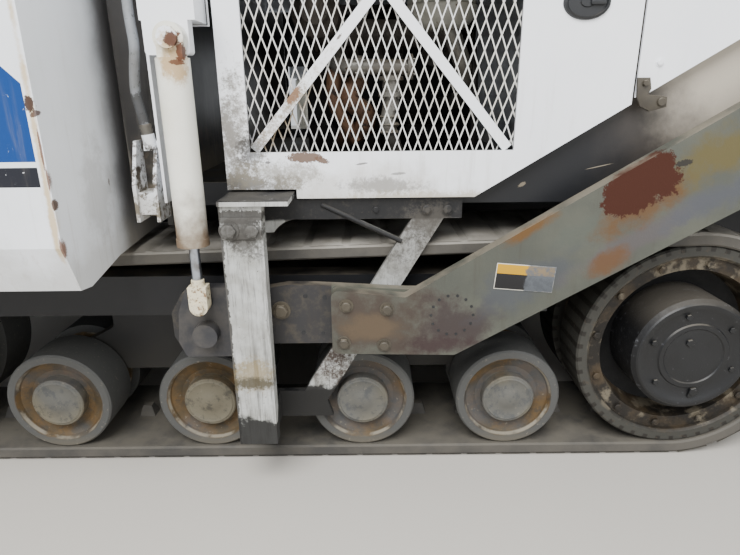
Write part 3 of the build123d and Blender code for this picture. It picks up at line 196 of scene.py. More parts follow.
class Finish(Tree):
    def __init__(self, name):
        self.material = bpy.data.materials.new(name)
        self.material.use_nodes = True
        self.tree = self.material.node_tree
        self.where = self.node("ShaderNodeTexCoord", out="Object")
        self.x, self.y, self.z = self.split(self.where)
        self.out = abs(self.y)
        self.sided = self.vector(self.x, self.out, self.z)
        self.normal = self.split(self.node("ShaderNodeNewGeometry", out="Normal"))
        self.up = self.normal[2].span(0.35, 0.9)

    def placed(self, at=(0, 0, 0), size=(1, 1, 1), turn=0.0, where=None):
        inputs = {"Vector": where or self.where, "Location": at, "Rotation": (0, turn, 0), "Scale": size}
        return self.node("ShaderNodeMapping", inputs, vector_type="TEXTURE")

    def noise(self, scale, detail=5, roughness=0.6, at=None):
        inputs = {"Vector": at or self.where, "Scale": scale, "Detail": detail, "Roughness": roughness}
        return self.node("ShaderNodeTexNoise", inputs, "Fac")

    def length(self, vector):
        return self.node("ShaderNodeVectorMath", {0: vector}, "Value", operation="LENGTH")

    # Distance from an axle that runs across the machine
    def away(self, x, z):
        return self.length(self.placed((x, 0, z), (1, 1e6, 1)))

    def mix(self, share, *colors):
        first, second = [shade(c) if isinstance(c, str) else c for c in colors]
        return self.node("ShaderNodeMix", {0: share, 6: first, 7: second}, 2, data_type="RGBA")

    def blend(self, share, first, second):
        return self.node("ShaderNodeMix", {0: share, 2: first, 3: second}, data_type="FLOAT")

    # A torn spot on both sides of the machine: 1 inside, 0 outside
    def spot(self, at, size, turn):
        torn = self.noise(1.9 / min(size[0], size[2]), 10, 0.76) * 2.0 - 1.0
        return (self.length(self.placed(at, size, turn, self.sided)) + torn).span(1.0, 0.88)

    # A stain that fades out towards its edge; grit above 0 makes it speckled
    def stain(self, at, size, turn, grit):
        away = self.length(self.placed(at, size, turn, self.sided))
        cover = self.noise(90, 9, 0.78) * (3.0 * grit) + (self.noise(11, 6, 0.65) * 2.0 - away)
        return cover.span(0.1 + 1.5 * grit, 0.8 + 1.5 * grit) * away.span(1.1, 0.75)

    def apply(self, color, rough, metallic, bump, depth, strength, **sockets):
        made = self.node("ShaderNodeBump", {"Height": bump, "Strength": strength, "Distance": depth})
        sockets |= {"Base Color": color, "Roughness": rough, "Metallic": metallic, "Normal": made}
        for name, value in sockets.items():
            self.fill(self.tree.nodes["Principled BSDF"].inputs[name.replace("_", " ")], value)
        return self.material


commonLook = {
    "base": "8a8a88", "cloud": "7c7b77", "cloudScale": 3.0, "cloudShare": 0.6,
    "speck": None,  # colour, scale, share
    "streak": None,  # colour, share, upper level, lower level
    "grime": None,  # colour, share, clean level, dirty level
    "dust": ("8d8170", 0.5),
    "stains": (),  # soft ones: colour, place, size, turn, share
    "spots": (),  # torn ones, the same
    "grit": 0.5,
    "rough": (0.42, 0.7), "metallic": 0.0, "grain": 160.0, "depth": 0.0006, "strength": 0.35,
}


def weathered(name, look, extra=None):
    look = {**commonLook, **look}
    f = Finish(name)
    cloud = f.noise(look["cloudScale"], 6).span(0.36, 0.66)
    color = f.mix(cloud * look["cloudShare"], look["base"], look["cloud"])
    dirt = cloud * 0.25
    if extra:
        color = extra(f, color)
    layers = []
    if look["speck"]:
        tint, scale, share = look["speck"]
        layers.append((tint, f.noise(scale, 8, 0.7).span(1.0 - share, 1.07 - share)))
    if look["streak"]:
        tint, share, upper, lower = look["streak"]
        runs = f.noise(1, 5, 0.65, f.placed(size=(0.025, 0.025, 0.32))).span(0.5, 0.74)
        layers.append((tint, runs * f.z.span(upper, lower) * share))
    if look["grime"]:
        tint, share, clean, dirty = look["grime"]
        level = f.noise(7, 6) * 0.34 + (f.z - 0.17)
        layers.append((tint, level.span(clean, dirty) * share))
    for tint, at, size, turn, share in look["stains"]:
        layers.append((tint, f.stain(at, size, math.radians(turn), look["grit"]) * share))
    for tint, at, size, turn, share in look["spots"]:
        layers.append((tint, f.spot(at, size, math.radians(turn)) * share))
    if look["dust"]:
        tint, share = look["dust"]
        layers.append((tint, f.up * f.noise(9, 6).span(0.32, 0.6) * share))
    for tint, mask in layers:
        color = f.mix(mask, color, tint)
        dirt = dirt | mask
    height = dirt * 0.8 + f.noise(look["grain"], 4)
    rough = f.blend(dirt, *look["rough"])
    return f.apply(color, rough, look["metallic"], height, look["depth"], look["strength"])


whiteLook = {
    "base": "fafcff", "cloud": "f1f4f9", "cloudScale": 2.2, "cloudShare": 0.7,
    "speck": ("8b8375", 60, 0.27),
    "streak": ("a9a396", 0.3, 1.5, 0.95),
    "grime": ("a39a86", 0.45, 1.06, 0.95),
    "dust": ("b5ae9d", 0.45),
    "stains": (
        ("6f685c", (0.5, 1.34, 1.12), (0.075, 0.2, 0.3), 0, 0.85),
        ("35322f", (0.45, 1.34, 1.09), (0.07, 0.2, 0.08), 0, 0.8),
        ("4b4741", (0.46, 1.34, 1), (0.2, 0.2, 0.055), 0, 0.85),
        ("8b8474", (0.39, 1.34, 1.03), (0.2, 0.2, 0.07), 0, 0.7),
        ("5f594f", (0.06, 1.34, 0.992), (0.17, 0.2, 0.035), 0, 0.6),
        ("a59a80", (-0.1, 1.34, 0.952), (0.6, 0.2, 0.03), 0, 0.6),
        ("8a7a63", (0.34, 1.327, 1.21), (0.2, 0.014, 0.05), 49, 0.9),
        ("a89c86", (0.24, 1.327, 1.33), (0.16, 0.014, 0.04), 49, 0.6),
        ("8d7c66", (-0.35, 1.34, 0.99), (0.14, 0.2, 0.03), 31, 0.5),
        ("c2a878", (0.595, 1.49, 1.385), (0.045, 0.03, 0.045), 0, 0.9),
    ),
    "spots": (
        ("69503f", (0.29, 1.34, 1.077), (0.052, 0.1, 0.016), 0, 0.95),
        ("69503f", (0.24, 1.34, 1.069), (0.022, 0.1, 0.009), -20, 0.95),
        ("4a453f", (0.121, 1.34, 1.057), (0.018, 0.1, 0.003), 8, 0.75),
        ("4a453f", (0.012, 1.34, 1.027), (0.024, 0.1, 0.004), 4, 0.6),
        ("4a453f", (0.399, 1.34, 1.063), (0.008, 0.1, 0.004), 0, 0.8),
        ("7d5a3c", (0.315, 1.327, 1.25), (0.035, 0.014, 0.018), 49, 0.9),
        ("5b5048", (0.179, 1.327, 1.405), (0.012, 0.014, 0.004), 49, 0.9),
        ("4a220d", (0.595, 1.487, 1.39), (0.019, 0.03, 0.019), 0, 0.95),
    ),
    "grit": 0.8, "rough": (0.3, 0.75),
    # The inside colour is painted shade for the engine room's inner faces
    "inside": "101012", "room": ((-0.62, 0.9), (0.699, 1.9)), "roomHalf": 1.3295,  # x and z of its corners
    # The wall's dark pair of colours is painted shade cast by the hopper
    "sootAndShade": ("1d1c1c", "3b3733"), "wallRear": 0.7005, "wallHalf": 1.3095, "wallLevels": (1.95, 1.6),
    "bracketWorn": "4b4238", "bracketRear": 0.7105, "bracketLevels": (1.16, 1.1),
}


# Inside, the engine room is painted near-black: painted shade on the closed room's inner faces
def insideShade(f, color):
    (rear, low), (front, high) = whiteLook["room"]
    within = (f.normal[1] * f.y < 0.02) * (f.out < whiteLook["roomHalf"])
    within *= (f.x > rear) * (f.x < front) * (f.z > low) * (f.z < high)
    return f.mix(within, color, whiteLook["inside"])


# The wall beside the door is painted dark where the hopper shades it: painted shade. The bracket there is worn
def cornerShadeAndWear(f, color):
    look = whiteLook
    wall = (f.x > look["wallRear"]) * (f.out < look["wallHalf"]) * f.z.span(*look["wallLevels"])
    bracket = (f.x > look["bracketRear"]) * f.z.span(*look["bracketLevels"])
    worn = (f.noise(70, 9, 0.75) + f.noise(18)).span(0.95, 1.1)
    # Painted shade on the wall beside the door, where the hopper shades it
    color = f.mix(wall, insideShade(f, color), f.mix(f.noise(12, 6), *look["sootAndShade"]))
    return f.mix(bracket * worn, color, look["bracketWorn"])


hopperLook = {
    "base": "f8fbff", "cloud": "eaeef2", "cloudScale": 1.6, "cloudShare": 0.7,
    "speck": ("93887a", 45, 0.28),
    "streak": ("aaa193", 0.3, 1.6, 0.8),
    "grime": ("a49d8d", 0.35, 0.94, 0.8),
    "dust": ("54504a", 0.7),
    "grit": 0.25,
    "stains": (
        ("c9ab6e", (0.86, 1.7, 1.05), (0.012, 0.03, 0.6), 0, 0.75),
        ("8f8a80", (0.85, 1.47, 1), (0.05, 0.12, 0.2), 0, 0.35),
    ),
    "spots": (
        ("3b2215", (0.862, 1.7, 1.24), (0.011, 0.02, 0.019), 0, 0.97),
        ("4a2a18", (0.852, 1.7, 1.22), (0.016, 0.02, 0.006), 30, 0.9),
        ("6b4128", (0.855, 1.7, 1.14), (0.003, 0.02, 0.05), 0, 0.9),
        ("6b4128", (0.852, 1.7, 1.07), (0.0025, 0.02, 0.03), 0, 0.9),
        ("4f3624", (0.85, 1.698, 1.01), (0.005, 0.02, 0.014), 0, 0.95),
        ("74492c", (0.852, 1.695, 0.9), (0.0035, 0.02, 0.03), 0, 0.9),
        ("6b5a48", (0.85, 1.4, 1.02), (0.02, 0.005, 0.01), 0, 0.7),
    ),
    "rough": (0.32, 0.75),
    "stripe": (0.872, 2.9), "stripeOut": 1.69,
    # colour, low, high, cut corner; the black one has none
    "bands": (("003b7d", 1.112, 1.329, 0.045), ("171923", 1.053, 1.099, -1)),
    "shade": "3d3631", "shadeFrom": (1.42, 1.29), "shadeRear": 0.9,
    "tar": "1b1a19", "tarDusty": "4a443c", "tarHalf": 1.672, "tarRear": 0.875, "tarLevels": (1.45, 1.15),
}


# Inside, asphalt has left a tarry crust on the floors and low on the walls
def hopperTar(f, color):
    look = hopperLook
    nx, ny, nz = f.normal
    inside = (ny * f.y < 0.1) * (nz > -0.3) * (f.out < look["tarHalf"]) * (f.x > look["tarRear"])
    level = f.noise(3.5, 8, 0.7) * 0.7 + (f.z - 0.35)
    tone = f.mix(f.noise(26, 8, 0.7).span(0.4, 0.65), look["tar"], look["tarDusty"])
    return f.mix(inside * level.span(*look["tarLevels"]) * 0.96, color, tone)


def hopperStripes(f, color):
    look = hopperLook
    rear, front = look["stripe"]
    run = (f.x > rear) * (f.x < front) * (f.out > look["stripeOut"]) * f.noise(55, 8, 0.7).span(0.69, 0.64)
    for tint, low, high, corner in look["bands"]:
        band = (f.z > low) * (f.z < high) * (f.z - f.x < high - rear - corner)
        color = f.mix(band * run, color, tint)
    # The rear plate darkens towards the body: painted shade where the body shades it
    edge = f.noise(6, 6) * 0.1 + (f.out - 0.05)
    shaded = edge.span(*look["shadeFrom"]) * (f.x < look["shadeRear"])
    return hopperTar(f, f.mix(shaded * 0.85, color, look["shade"]))


darkLook = {
    "base": "121317", "cloud": "1a1a1b", "speck": ("36322d", 30, 0.3),
    "grime": ("3b372f", 0.5, 0.6, 0.2), "dust": ("5c554a", 0.7), "rough": (0.5, 0.85),
    "spots": (
        ("9a8f7c", (-0.6, 1.3, 1.037), (0.04, 0.1, 0.0016), 12, 0.7),
        ("8d826f", (-0.37, 1.3, 0.985), (0.013, 0.1, 0.006), 31, 0.8),
    ),
    "fade": ((0.98, 1.22, "3a3531"), (1.2, 1.44, "b3aa9b")), "fadeFrom": (-0.34, 0.95, 1.25),
}


# The plate behind the towing arm fades from grime at its front to washed paint at its rear
def plateFade(f, color):
    rear, low, out = darkLook["fadeFrom"]
    along = f.noise(5, 6, 0.65) * 0.3 + (f.x * -0.86 + f.z * 0.51 - 0.15)
    mask = (f.x < rear) * (f.z > low) * (f.out > out)
    for start, end, tint in darkLook["fade"]:
        color = f.mix(mask * along.span(start, end), color, tint)
    return color


columnLook = {
    "base": "bcbdba", "cloud": "96958e", "cloudScale": 16, "cloudShare": 0.75,
    "speck": ("4a443c", 85, 0.37),
    "streak": ("4b4741", 0.7, 1, 0.35),
    "grime": ("1b1a18", 0.97, 0.318, 0.29),
    "dust": ("3f3c37", 0.9),
    "grit": 0.9,
    "stains": (
        ("85713f", (0.465, 1.48, 0.43), (0.1, 0.1, 0.08), 0, 0.65),
        ("3d3829", (0.465, 1.48, 0.405), (0.12, 0.1, 0.03), 0, 0.8),
        ("3f3b36", (0.465, 1.48, 0.86), (0.09, 0.1, 0.1), 0, 0.8),
        ("4a4640", (-0.08, 1.32, 0.88), (0.12, 0.05, 0.09), 0, 0.75),
        ("3f332c", (0.21, 1.31, 0.41), (0.13, 0.05, 0.15), 0, 0.97),
    ),
    "spots": (
        ("3b3834", (0.465, 1.48, 0.93), (0.09, 0.1, 0.02), 0, 0.9),
        ("45423e", (0.465, 1.48, 0.89), (0.075, 0.1, 0.036), 0, 0.85),
    ),
    "rough": (0.55, 0.85), "depth": 0.0012,
    "sooty": "0e0e10", "sootyPale": "262320", "hanger": (0.878, 0.96), "footTop": 0.293, "shelfTop": 0.9745,
    "columnIn": 1.4, "stayOut": 1.3245, "braceSpan": (0.6, 0.8), "braceFront": 0.36, "braceWorn": "3f3a34",
    "scratch": "5d5b57", "chip": "35322e", "frontEdge": 0.522,
}


# The hanger, the foot and the shelf's top are sooty, the column and the brace are worn white
def guideSoot(f, color):
    look = columnLook
    low, high = look["hanger"]
    foot, edge = look["footTop"], look["frontEdge"]
    inner = f.out < look["columnIn"]
    wavy = f.noise(24, 6) * 0.02 + (f.z - 0.01)
    hanger = wavy.span(low, low + 0.01) * (f.z < high)
    sooty = (hanger | wavy.span(foot + 0.006, foot - 0.006) | (f.out > look["stayOut"])) * inner
    top = (f.z > look["shelfTop"]) * f.noise(30, 7, 0.7).span(0.68, 0.6)
    tone = f.mix(f.noise(40, 8, 0.7).span(0.5, 0.7), look["sooty"], look["sootyPale"])
    brace = inner * (f.x < look["braceFront"]) * f.z.span(*look["braceSpan"])
    worn = f.blend(f.noise(60, 9, 0.78).span(0.42, 0.6), 0.45, 0.9)
    color = f.mix(brace * worn, color, look["braceWorn"])
    scratch = f.noise(1, 9, 0.8, f.placed(size=(0.011, 0.011, 0.22))).span(0.5, 0.62)
    color = f.mix(scratch * 0.7, color, look["scratch"])
    torn = (f.noise(34, 8, 0.75) * 0.03 + (f.x - 0.015)).span(edge - 0.0075, edge - 0.005)
    return f.mix(sooty | top, f.mix(torn * 0.9, color, look["chip"]), tone)


armLook = {
    "base": "4b4d46", "cloud": "58594f", "cloudScale": 3.4, "cloudShare": 0.9,
    "speck": ("383027", 34, 0.32),
    "streak": ("3f372d", 0.35, 1.6, 0.4),
    "dust": ("8a806f", 0.6),
    "grit": 0.12,
    "stains": (
        ("433a32", (0.06, 1.42, 0.58), (0.34, 0.05, 0.2), 0, 1),
        ("5e4f3c", (0.09, 1.42, 0.565), (0.15, 0.05, 0.07), 0, 0.7),
        ("3b3230", (-0.16, 1.42, 0.57), (0.19, 0.05, 0.15), 0, 0.95),
        ("352625", (-0.12, 1.42, 0.505), (0.16, 0.05, 0.045), 0, 0.8),
        ("474a4e", (-0.38, 1.42, 0.72), (0.27, 0.05, 0.1), 31, 0.75),
        ("52564e", (-0.53, 1.42, 0.87), (0.2, 0.05, 0.07), 31, 0.7),
        ("554f50", (-0.68, 1.42, 0.83), (0.3, 0.05, 0.05), 31, 0.7),
        ("4c4e54", (-0.915, 1.42, 0.965), (0.24, 0.05, 0.06), 31, 0.8),
        ("644620", (-0.371, 1.42, 0.872), (0.13, 0.05, 0.03), 31, 0.9),
        ("5e4023", (-0.607, 1.42, 0.764), (0.11, 0.05, 0.05), 31, 0.85),
        ("5f5530", (-0.93, 1.42, 1.11), (0.25, 0.05, 0.1), 31, 0.85),
        ("5e4223", (-0.67, 1.42, 0.93), (0.19, 0.05, 0.08), 31, 0.85),
    ),
    "spots": (
        ("3c1500", (-0.68, 1.42, 1.012), (0.1, 0.05, 0.085), 31, 1),
        ("3c1500", (-0.635, 1.42, 0.965), (0.07, 0.05, 0.06), 31, 1),
        ("3c1500", (-0.732, 1.42, 1.025), (0.055, 0.05, 0.07), 31, 1),
        ("262321", (-0.791, 1.42, 1.06), (0.026, 0.05, 0.009), 10, 0.9),
    ),
    "rough": (0.45, 0.8), "metallic": 0.15, "depth": 0.0012,
    "nose": "302f30", "noseSpeck": "454039", "noseFrom": (0.221, 1.3715),
}


# The thick plate in front is dark with grime
def noseSoot(f, color):
    rear, out = armLook["noseFrom"]
    tone = f.mix(f.noise(22, 8, 0.7).span(0.45, 0.65), armLook["nose"], armLook["noseSpeck"])
    return f.mix((f.x > rear) * (f.out < out), color, tone)


cylinderLook = {
    "base": "f0eee2", "cloud": "ddd8c4", "cloudScale": 5,
    "speck": ("a58a5e", 40, 0.31),
    "grime": ("654f38", 0.95, 1.02, 0.86),
    "stains": (
        ("b08a4c", (0.59, 1.5, 1.335), (0.05, 0.05, 0.07), 0, 0.8),
        ("b9a37a", (0.6, 1.5, 1.38), (0.06, 0.06, 0.05), 0, 0.7),
    ),
    "spots": (
        ("53290f", (0.603, 1.485, 1.395), (0.026, 0.05, 0.026), 0, 0.97),
        ("5d3013", (0.576, 1.49, 1.36), (0.014, 0.05, 0.024), 0, 0.95),
        ("5d3013", (0.585, 1.5, 1.335), (0.018, 0.05, 0.007), 0, 0.9),
    ),
    "rough": (0.3, 0.7),
}

beltLook = {
    "pale": "b1aca2", "upperRun": (0.45, 0.6),
    "base": "3f3d3a", "cloud": "57534c", "cloudScale": 5, "cloudShare": 0.85,
    "speck": ("7d7462", 90, 0.36), "dust": ("625d53", 0.75),
    "rough": (0.72, 0.92), "depth": 0.0015, "strength": 0.5, "grain": 110,
}


# Pale grit lies on the belt's upper run, and its upward faces are painted lighter: partly grit, partly painted light
# from the sky
def beltDustAndLight(f, color):
    lies = f.up * f.z.span(*beltLook["upperRun"])
    lies *= f.blend(f.noise(18, 8, 0.7).span(0.35, 0.6), 0.6, 1.0)
    return f.mix(lies, color, beltLook["pale"])


wheelLook = {
    "rim": "4c4c4a", "bead": "8b8475", "web": "5e4828", "ring": "463b28", "hub": "6a6454", "hubDark": "35332e",
    "axles": ((1.2, 0.232), (0.665, 0.232), (0.13, 0.232), (-0.38, 0.232)),
    "idler": (1.85, 0.38), "rimInner": 0.153, "hubRadius": 0.091, "idlerScale": 0.53,
    "cold": "4f545a", "mud": "6d6555", "grit": "8b8374",
}


def rollerFinish():
    look = wheelLook
    f = Finish("rollerSteel")
    rim, hub = look["rimInner"], look["hubRadius"]
    near = f.away(*look["idler"]) * look["idlerScale"]
    for x, z in look["axles"]:
        near &= f.away(x, z)
    wavy = f.noise(22) * 0.014 + (near - 0.007)
    color = f.mix(f.noise(16, 6).span(0.35, 0.65), look["web"], look["ring"])
    color = f.mix(wavy.span(hub + 0.004, hub - 0.006), color, look["hub"])
    color = f.mix(f.noise(28, 9, 0.78).span(0.48, 0.62) * 0.7, color, look["hubDark"])
    cold = f.noise(3.1, 2, 0.4, f.placed((1.3, 0, 2))).span(0.5, 0.62)
    color = f.mix(cold * 0.5, color, look["cold"])
    color = f.mix(wavy.span(rim - 0.004, rim + 0.003), color, look["rim"])
    bead = abs(near - (rim - 0.004)).span(0.004, 0.0015) * f.noise(13).span(0.4, 0.6)
    color = f.mix(bead, color, look["bead"])
    color = f.mix(f.z.span(0.12, 0.04) * 0.6, color, look["mud"])
    color = f.mix(f.noise(70, 8, 0.7).span(0.6, 0.68) * 0.5, color, look["grit"])
    return f.apply(color, f.blend(f.noise(20), 0.55, 0.85), 0.15, f.noise(120, 6, 0.7), 0.0015, 0.5)


driveLook = {
    # The near-black well colour is painted shadow inside the wheel, between the ring and the hub
    "rim": "3b3a35", "ring": "473b2a", "ringDark": "1f1b16", "hub": "0d0d0f", "shadowedWell": "080809",
    "dust": "79705f", "speck": "4a4136", "hubSpeck": "4a4b4e", "hubDust": "6a645a", "rimFrom": (0.318, 0.335),
    "axle": (-0.97, 0.416), "hubRadius": 0.202, "wellRadius": 0.262,
    "notches": 46, "notched": 0.348,
}


# A row of dark notches round the rim stands for the gaps between the tread pads: painted shade in the gaps
def driveNotchShade(f, near):
    x, z = driveLook["axle"]
    start = driveLook["notched"]
    around = f.sums("ARCTAN2", f.z - z, f.x - x)
    wave = f.sums("SINE", around * driveLook["notches"])
    torn = f.noise(60, 6, 0.7) * 1.2 + (wave - 0.6)
    return torn.span(0.35, 0.55) * near.span(start - 0.003, start)


def driveFinish():
    look = driveLook
    f = Finish("driveWheelSteel")
    near = f.away(*look["axle"])
    shadowedWell, hub = look["wellRadius"], look["hubRadius"]
    wavy = f.noise(14, 6) * 0.03 + (near - 0.015)
    color = f.mix(f.noise(9, 7).span(0.35, 0.6), look["ring"], look["ringDark"])
    dusty = f.noise(13, 6, 0.6, f.placed((3, 0, 1))).span(0.5, 0.62)
    color = f.mix(dusty * 0.8, color, look["dust"])
    color = f.mix(wavy.span(*look["rimFrom"]), color, look["rim"])
    # Dark notches: painted shade in the gaps between the tread pads
    color = f.mix(driveNotchShade(f, near) * 0.85, color, look["ringDark"])
    color = f.mix(f.noise(60, 8, 0.7).span(0.56, 0.66) * 0.6, color, look["speck"])
    # The deep inside between the ring and the hub is painted near-black: painted shadow
    color = f.mix(near.span(shadowedWell + 0.002, shadowedWell - 0.002), color, look["shadowedWell"])
    cap = f.mix(f.noise(40, 8, 0.75).span(0.57, 0.66), look["hub"], look["hubSpeck"])
    cap = f.mix(f.up * 0.5, cap, look["hubDust"])
    color = f.mix(near.span(hub + 0.002, hub - 0.001), color, cap)
    return f.apply(color, f.blend(f.noise(24), 0.45, 0.8), 0.2, f.noise(90, 6, 0.7), 0.002, 0.6)


# Towing point: sooty slide, cream clevis with rust and a bright rod
towLook = {
    "sootAndShade": ("2f2f32", "45423f"), "cream": ("dcd2b6", "7a5a38"), "steel": ("b4bac4", "7d7a78"),
    "clevisLow": 0.6325, "clevisOut": 1.4375, "rodLow": 0.742,
}


def towPointFinish():
    look = towLook
    f = Finish("towPointPaint")
    color = f.mix(f.noise(14, 6).span(0.35, 0.65), *look["sootAndShade"])
    cream = f.mix(f.noise(80, 9, 0.75).span(0.5, 0.62), *look["cream"])
    color = f.mix((f.z > look["clevisLow"]) * (f.out > look["clevisOut"]), color, cream)
    rod = f.z > look["rodLow"]
    color = f.mix(rod, color, f.mix(f.noise(30, 6).span(0.45, 0.75), *look["steel"]))
    return f.apply(color, f.blend(rod, 0.65, 0.28), rod * 0.95, f.noise(120), 0.0008, 0.4)


def chromeFinish():
    f = Finish("chromeRod")
    film = f.noise(30, 6).span(0.45, 0.75)
    color = f.mix(film, "d2d2cf", "8d8678")
    return f.apply(color, f.blend(film, 0.16, 0.5), 1.0, f.noise(240, 3), 0.0003, 0.3)


def seatFinish():
    f = Finish("seatVinyl")
    patch = f.noise(7).span(0.35, 0.7)
    color = f.mix(patch, "1d1e20", "2a2a2b")
    color = f.mix(f.up * (patch * 0.35), color, "5a554c")
    return f.apply(color, f.blend(patch, 0.38, 0.6), 0.0, f.noise(420, 4), 0.0006, 0.35)


def plainPaint(name, tint, rough, **sockets):
    f = Finish(name)
    film = f.noise(8).span(0.4, 0.7)
    color = f.mix(film * 0.18, tint, "5f594e")
    return f.apply(color, f.blend(film, rough, rough + 0.2), 0.0, f.noise(260, 3), 0.0003, 0.3, **sockets)


plateLook = {
    "centre": (-0.367, 0.722), "half": (0.09, 0.041), "face": 1.4205, "turn": -5.0, "border": 0.0025,
    "yellow": "b98d0a", "black": "131316", "edge": "c4c1b6", "faded": "565a5f", "yellowLow": 0.009,
}


# A blank plate in two plain colours, with its rear half faded
def plateFinish():
    look = plateLook
    f = Finish("blankPlate")
    (x, z), (halfLong, halfHigh), border = look["centre"], look["half"], look["border"]
    along, across, up = f.split(f.placed((x, 0, z), turn=math.radians(look["turn"])))
    color = f.mix(up > look["yellowLow"], look["black"], look["yellow"])
    inside = (abs(along) < halfLong - border) * (abs(up) < halfHigh - border)
    faded = (f.noise(24, 8, 0.7) * 0.1 + (along - 0.05)).span(0.004, -0.006)
    patchy = f.blend(f.noise(60, 8, 0.7).span(0.4, 0.6), 0.75, 0.97)
    color = f.mix(faded * patchy, f.mix(inside, look["edge"], color), look["faded"])
    return f.apply(color, f.blend(faded, 0.4, 0.7), 0.0, f.noise(200, 3), 0.0004, 0.3)


plainLooks = {
    "iron": ("engineIron", {
        "base": "1c1a19", "cloud": "2f2823", "cloudScale": 9, "cloudShare": 0.8,
        "speck": ("4a3829", 40, 0.33), "dust": ("4d463d", 0.6), "rough": (0.5, 0.85), "metallic": 0.3}),
    "bare": ("bareSteel", {
        "base": "6f6c66", "cloud": "84796a", "cloudScale": 8, "speck": ("6c452a", 46, 0.38),
        "dust": ("7d7362", 0.5), "rough": (0.35, 0.7), "metallic": 0.55}),
    "asphalt": ("asphaltSteel", {
        "base": "35322e", "cloud": "4a453e", "cloudScale": 6, "speck": ("1d1b1a", 80, 0.45),
        "grime": ("1f1d1c", 0.8, 0.42, 0.2), "dust": ("5b5448", 0.5), "rough": (0.5, 0.9),
        "metallic": 0.2, "depth": 0.003, "strength": 0.6, "grain": 60}),
    "hose": ("hoseRubber", {
        "base": "8b8e92", "cloud": "6d6c69", "cloudScale": 12, "cloudShare": 0.8,
        "speck": ("3e3b38", 60, 0.42), "dust": ("a9a69c", 0.3), "rough": (0.5, 0.85),
        "spots": (("33312f", (0.74, 1.36, 1.22), (0.05, 0.05, 0.05), 0, 0.8),)}),
    "black": ("blackPaint", {
        "base": "1c1d1f", "cloud": "27282a", "dust": ("5d574c", 0.35), "grain": 300}),
    "mesh": ("meshPaint", {
        **whiteLook, "base": "e6e6e3", "cloud": "c9c4b8", "cloudScale": 6, "grime": None, "spots": (),
        "stains": (("77767a", (0.38, 1.31, 1.14), (0.2, 0.2, 0.14), 49, 0.9),
                   ("a3906f", (0.33, 1.31, 1.2), (0.26, 0.2, 0.05), 49, 0.7))}),
    "armBolt": ("armBoltSteel", {
        **armLook, "base": "3a3630", "cloud": "544d40", "stains": (), "spots": ()}),
    "hubCover": ("hubCoverPaint", {
        "base": "0d0e10", "cloud": "161719", "cloudScale": 9, "speck": ("56565a", 60, 0.36),
        "dust": ("6a6459", 0.6), "depth": 0.001}),
    "canister": ("canisterPaint", {
        "base": "c6c5bd", "cloud": "a9a597", "cloudScale": 7, "speck": ("6d5c48", 40, 0.38),
        "dust": ("8d806c", 0.8), "rough": (0.35, 0.75)}),
    "rusty": ("rustyIron", {
        "base": "5f4534", "cloud": "7b5b42", "cloudScale": 12, "cloudShare": 0.9, "speck": ("332a24", 36, 0.45),
        "dust": ("7d6f5e", 0.6), "rough": (0.6, 0.9), "depth": 0.002, "strength": 0.5}),
    "manifold": ("manifoldIron", {
        "base": "7a736c", "cloud": "5c544d", "cloudScale": 9, "cloudShare": 0.8, "speck": ("3a3430", 30, 0.4),
        "dust": ("938a7c", 0.5), "rough": (0.6, 0.9), "depth": 0.002, "strength": 0.5}),
    "alloy": ("pipeAlloy", {
        "base": "8e8b84", "cloud": "6c6358", "cloudScale": 14, "speck": ("5d4633", 50, 0.4),
        "dust": ("9f937f", 0.6), "rough": (0.4, 0.75), "metallic": 0.4}),
    "console": ("consolePlastic", {
        "base": "2a2c2f", "cloud": "333538", "dust": ("6c665b", 0.5), "rough": (0.5, 0.7), "grain": 420,
        "strength": 0.5}),
    "tread": ("deckTread", {
        "base": "34363a", "cloud": "44443f", "speck": ("7b7261", 26, 0.4), "dust": ("7a7060", 0.85),
        "rough": (0.5, 0.85), "metallic": 0.2}),
}

finishes = {
    "white": weathered("whitePaint", whiteLook, insideShade),
    "housing": weathered("housingPaint", whiteLook, cornerShadeAndWear),
    "hopper": weathered("hopperPaint", hopperLook, hopperStripes),
    "dark": weathered("framePaint", darkLook, plateFade),
    "column": weathered("guidePaint", columnLook, guideSoot),
    "arm": weathered("armSteel", armLook, noseSoot),
    "cylinder": weathered("cylinderPaint", cylinderLook),
    "belt": weathered("beltRubber", beltLook, beltDustAndLight),
    "roller": rollerFinish(),
    "drive": driveFinish(),
    "towPoint": towPointFinish(),
    "chrome": chromeFinish(),
    "vinyl": seatFinish(),
    "plate": plateFinish(),
    "lens": plainPaint("lampLens", "d9dcdc", 0.08, Specular_IOR_Level=0.7, Coat_Weight=1.0),
    "redButton": plainPaint("redPlastic", "a31f1a", 0.35),
}
finishes |= {finish: weathered(name, look) for finish, (name, look) in plainLooks.items()}

nodeFinishes = {
    "housing": "engine_housing",
    "white": "engine_hood rear_housing engine_door_left engine_door_right canopy tow_brackets operator_deck",
    "hopper": "hopper_wing_left hopper_wing_right hopper_back",
    "dark": "main_frame track_frames push_beam auger_frame lift_brackets rear_ladder hopper_flashing work_lamps "
            "seat_frames",
    "column": "tow_guides",
    "arm": "tow_arm_left tow_arm_right",
    "towPoint": "tow_points",
    "cylinder": "tow_barrels lift_barrels wing_barrel_left wing_barrel_right",
    "belt": "track_belt_left track_belt_right",
    "roller": "track_rollers",
    "drive": "drive_wheels",
    "iron": "engine_block engine_fittings exhaust_stack",
    "asphalt": "conveyor screed_main screed_extension_left screed_extension_right auger_left auger_right",
    "bare": "push_roller_left push_roller_right",
    "chrome": "wing_rod_left wing_rod_right lift_rods",
    "mesh": "door_grille_left door_grille_right",
    "hose": "hydraulic_hose",
    "black": "handrails control_consoles seat_cushions",
}

for finish, names in nodeFinishes.items():
    for name in names.split():
        nodes[name].data.materials.clear()
        nodes[name].data.materials.append(finishes[finish])
print("nodes finished")


# Shapes. Everything is built in place, in metres, in the frame of the CAD.

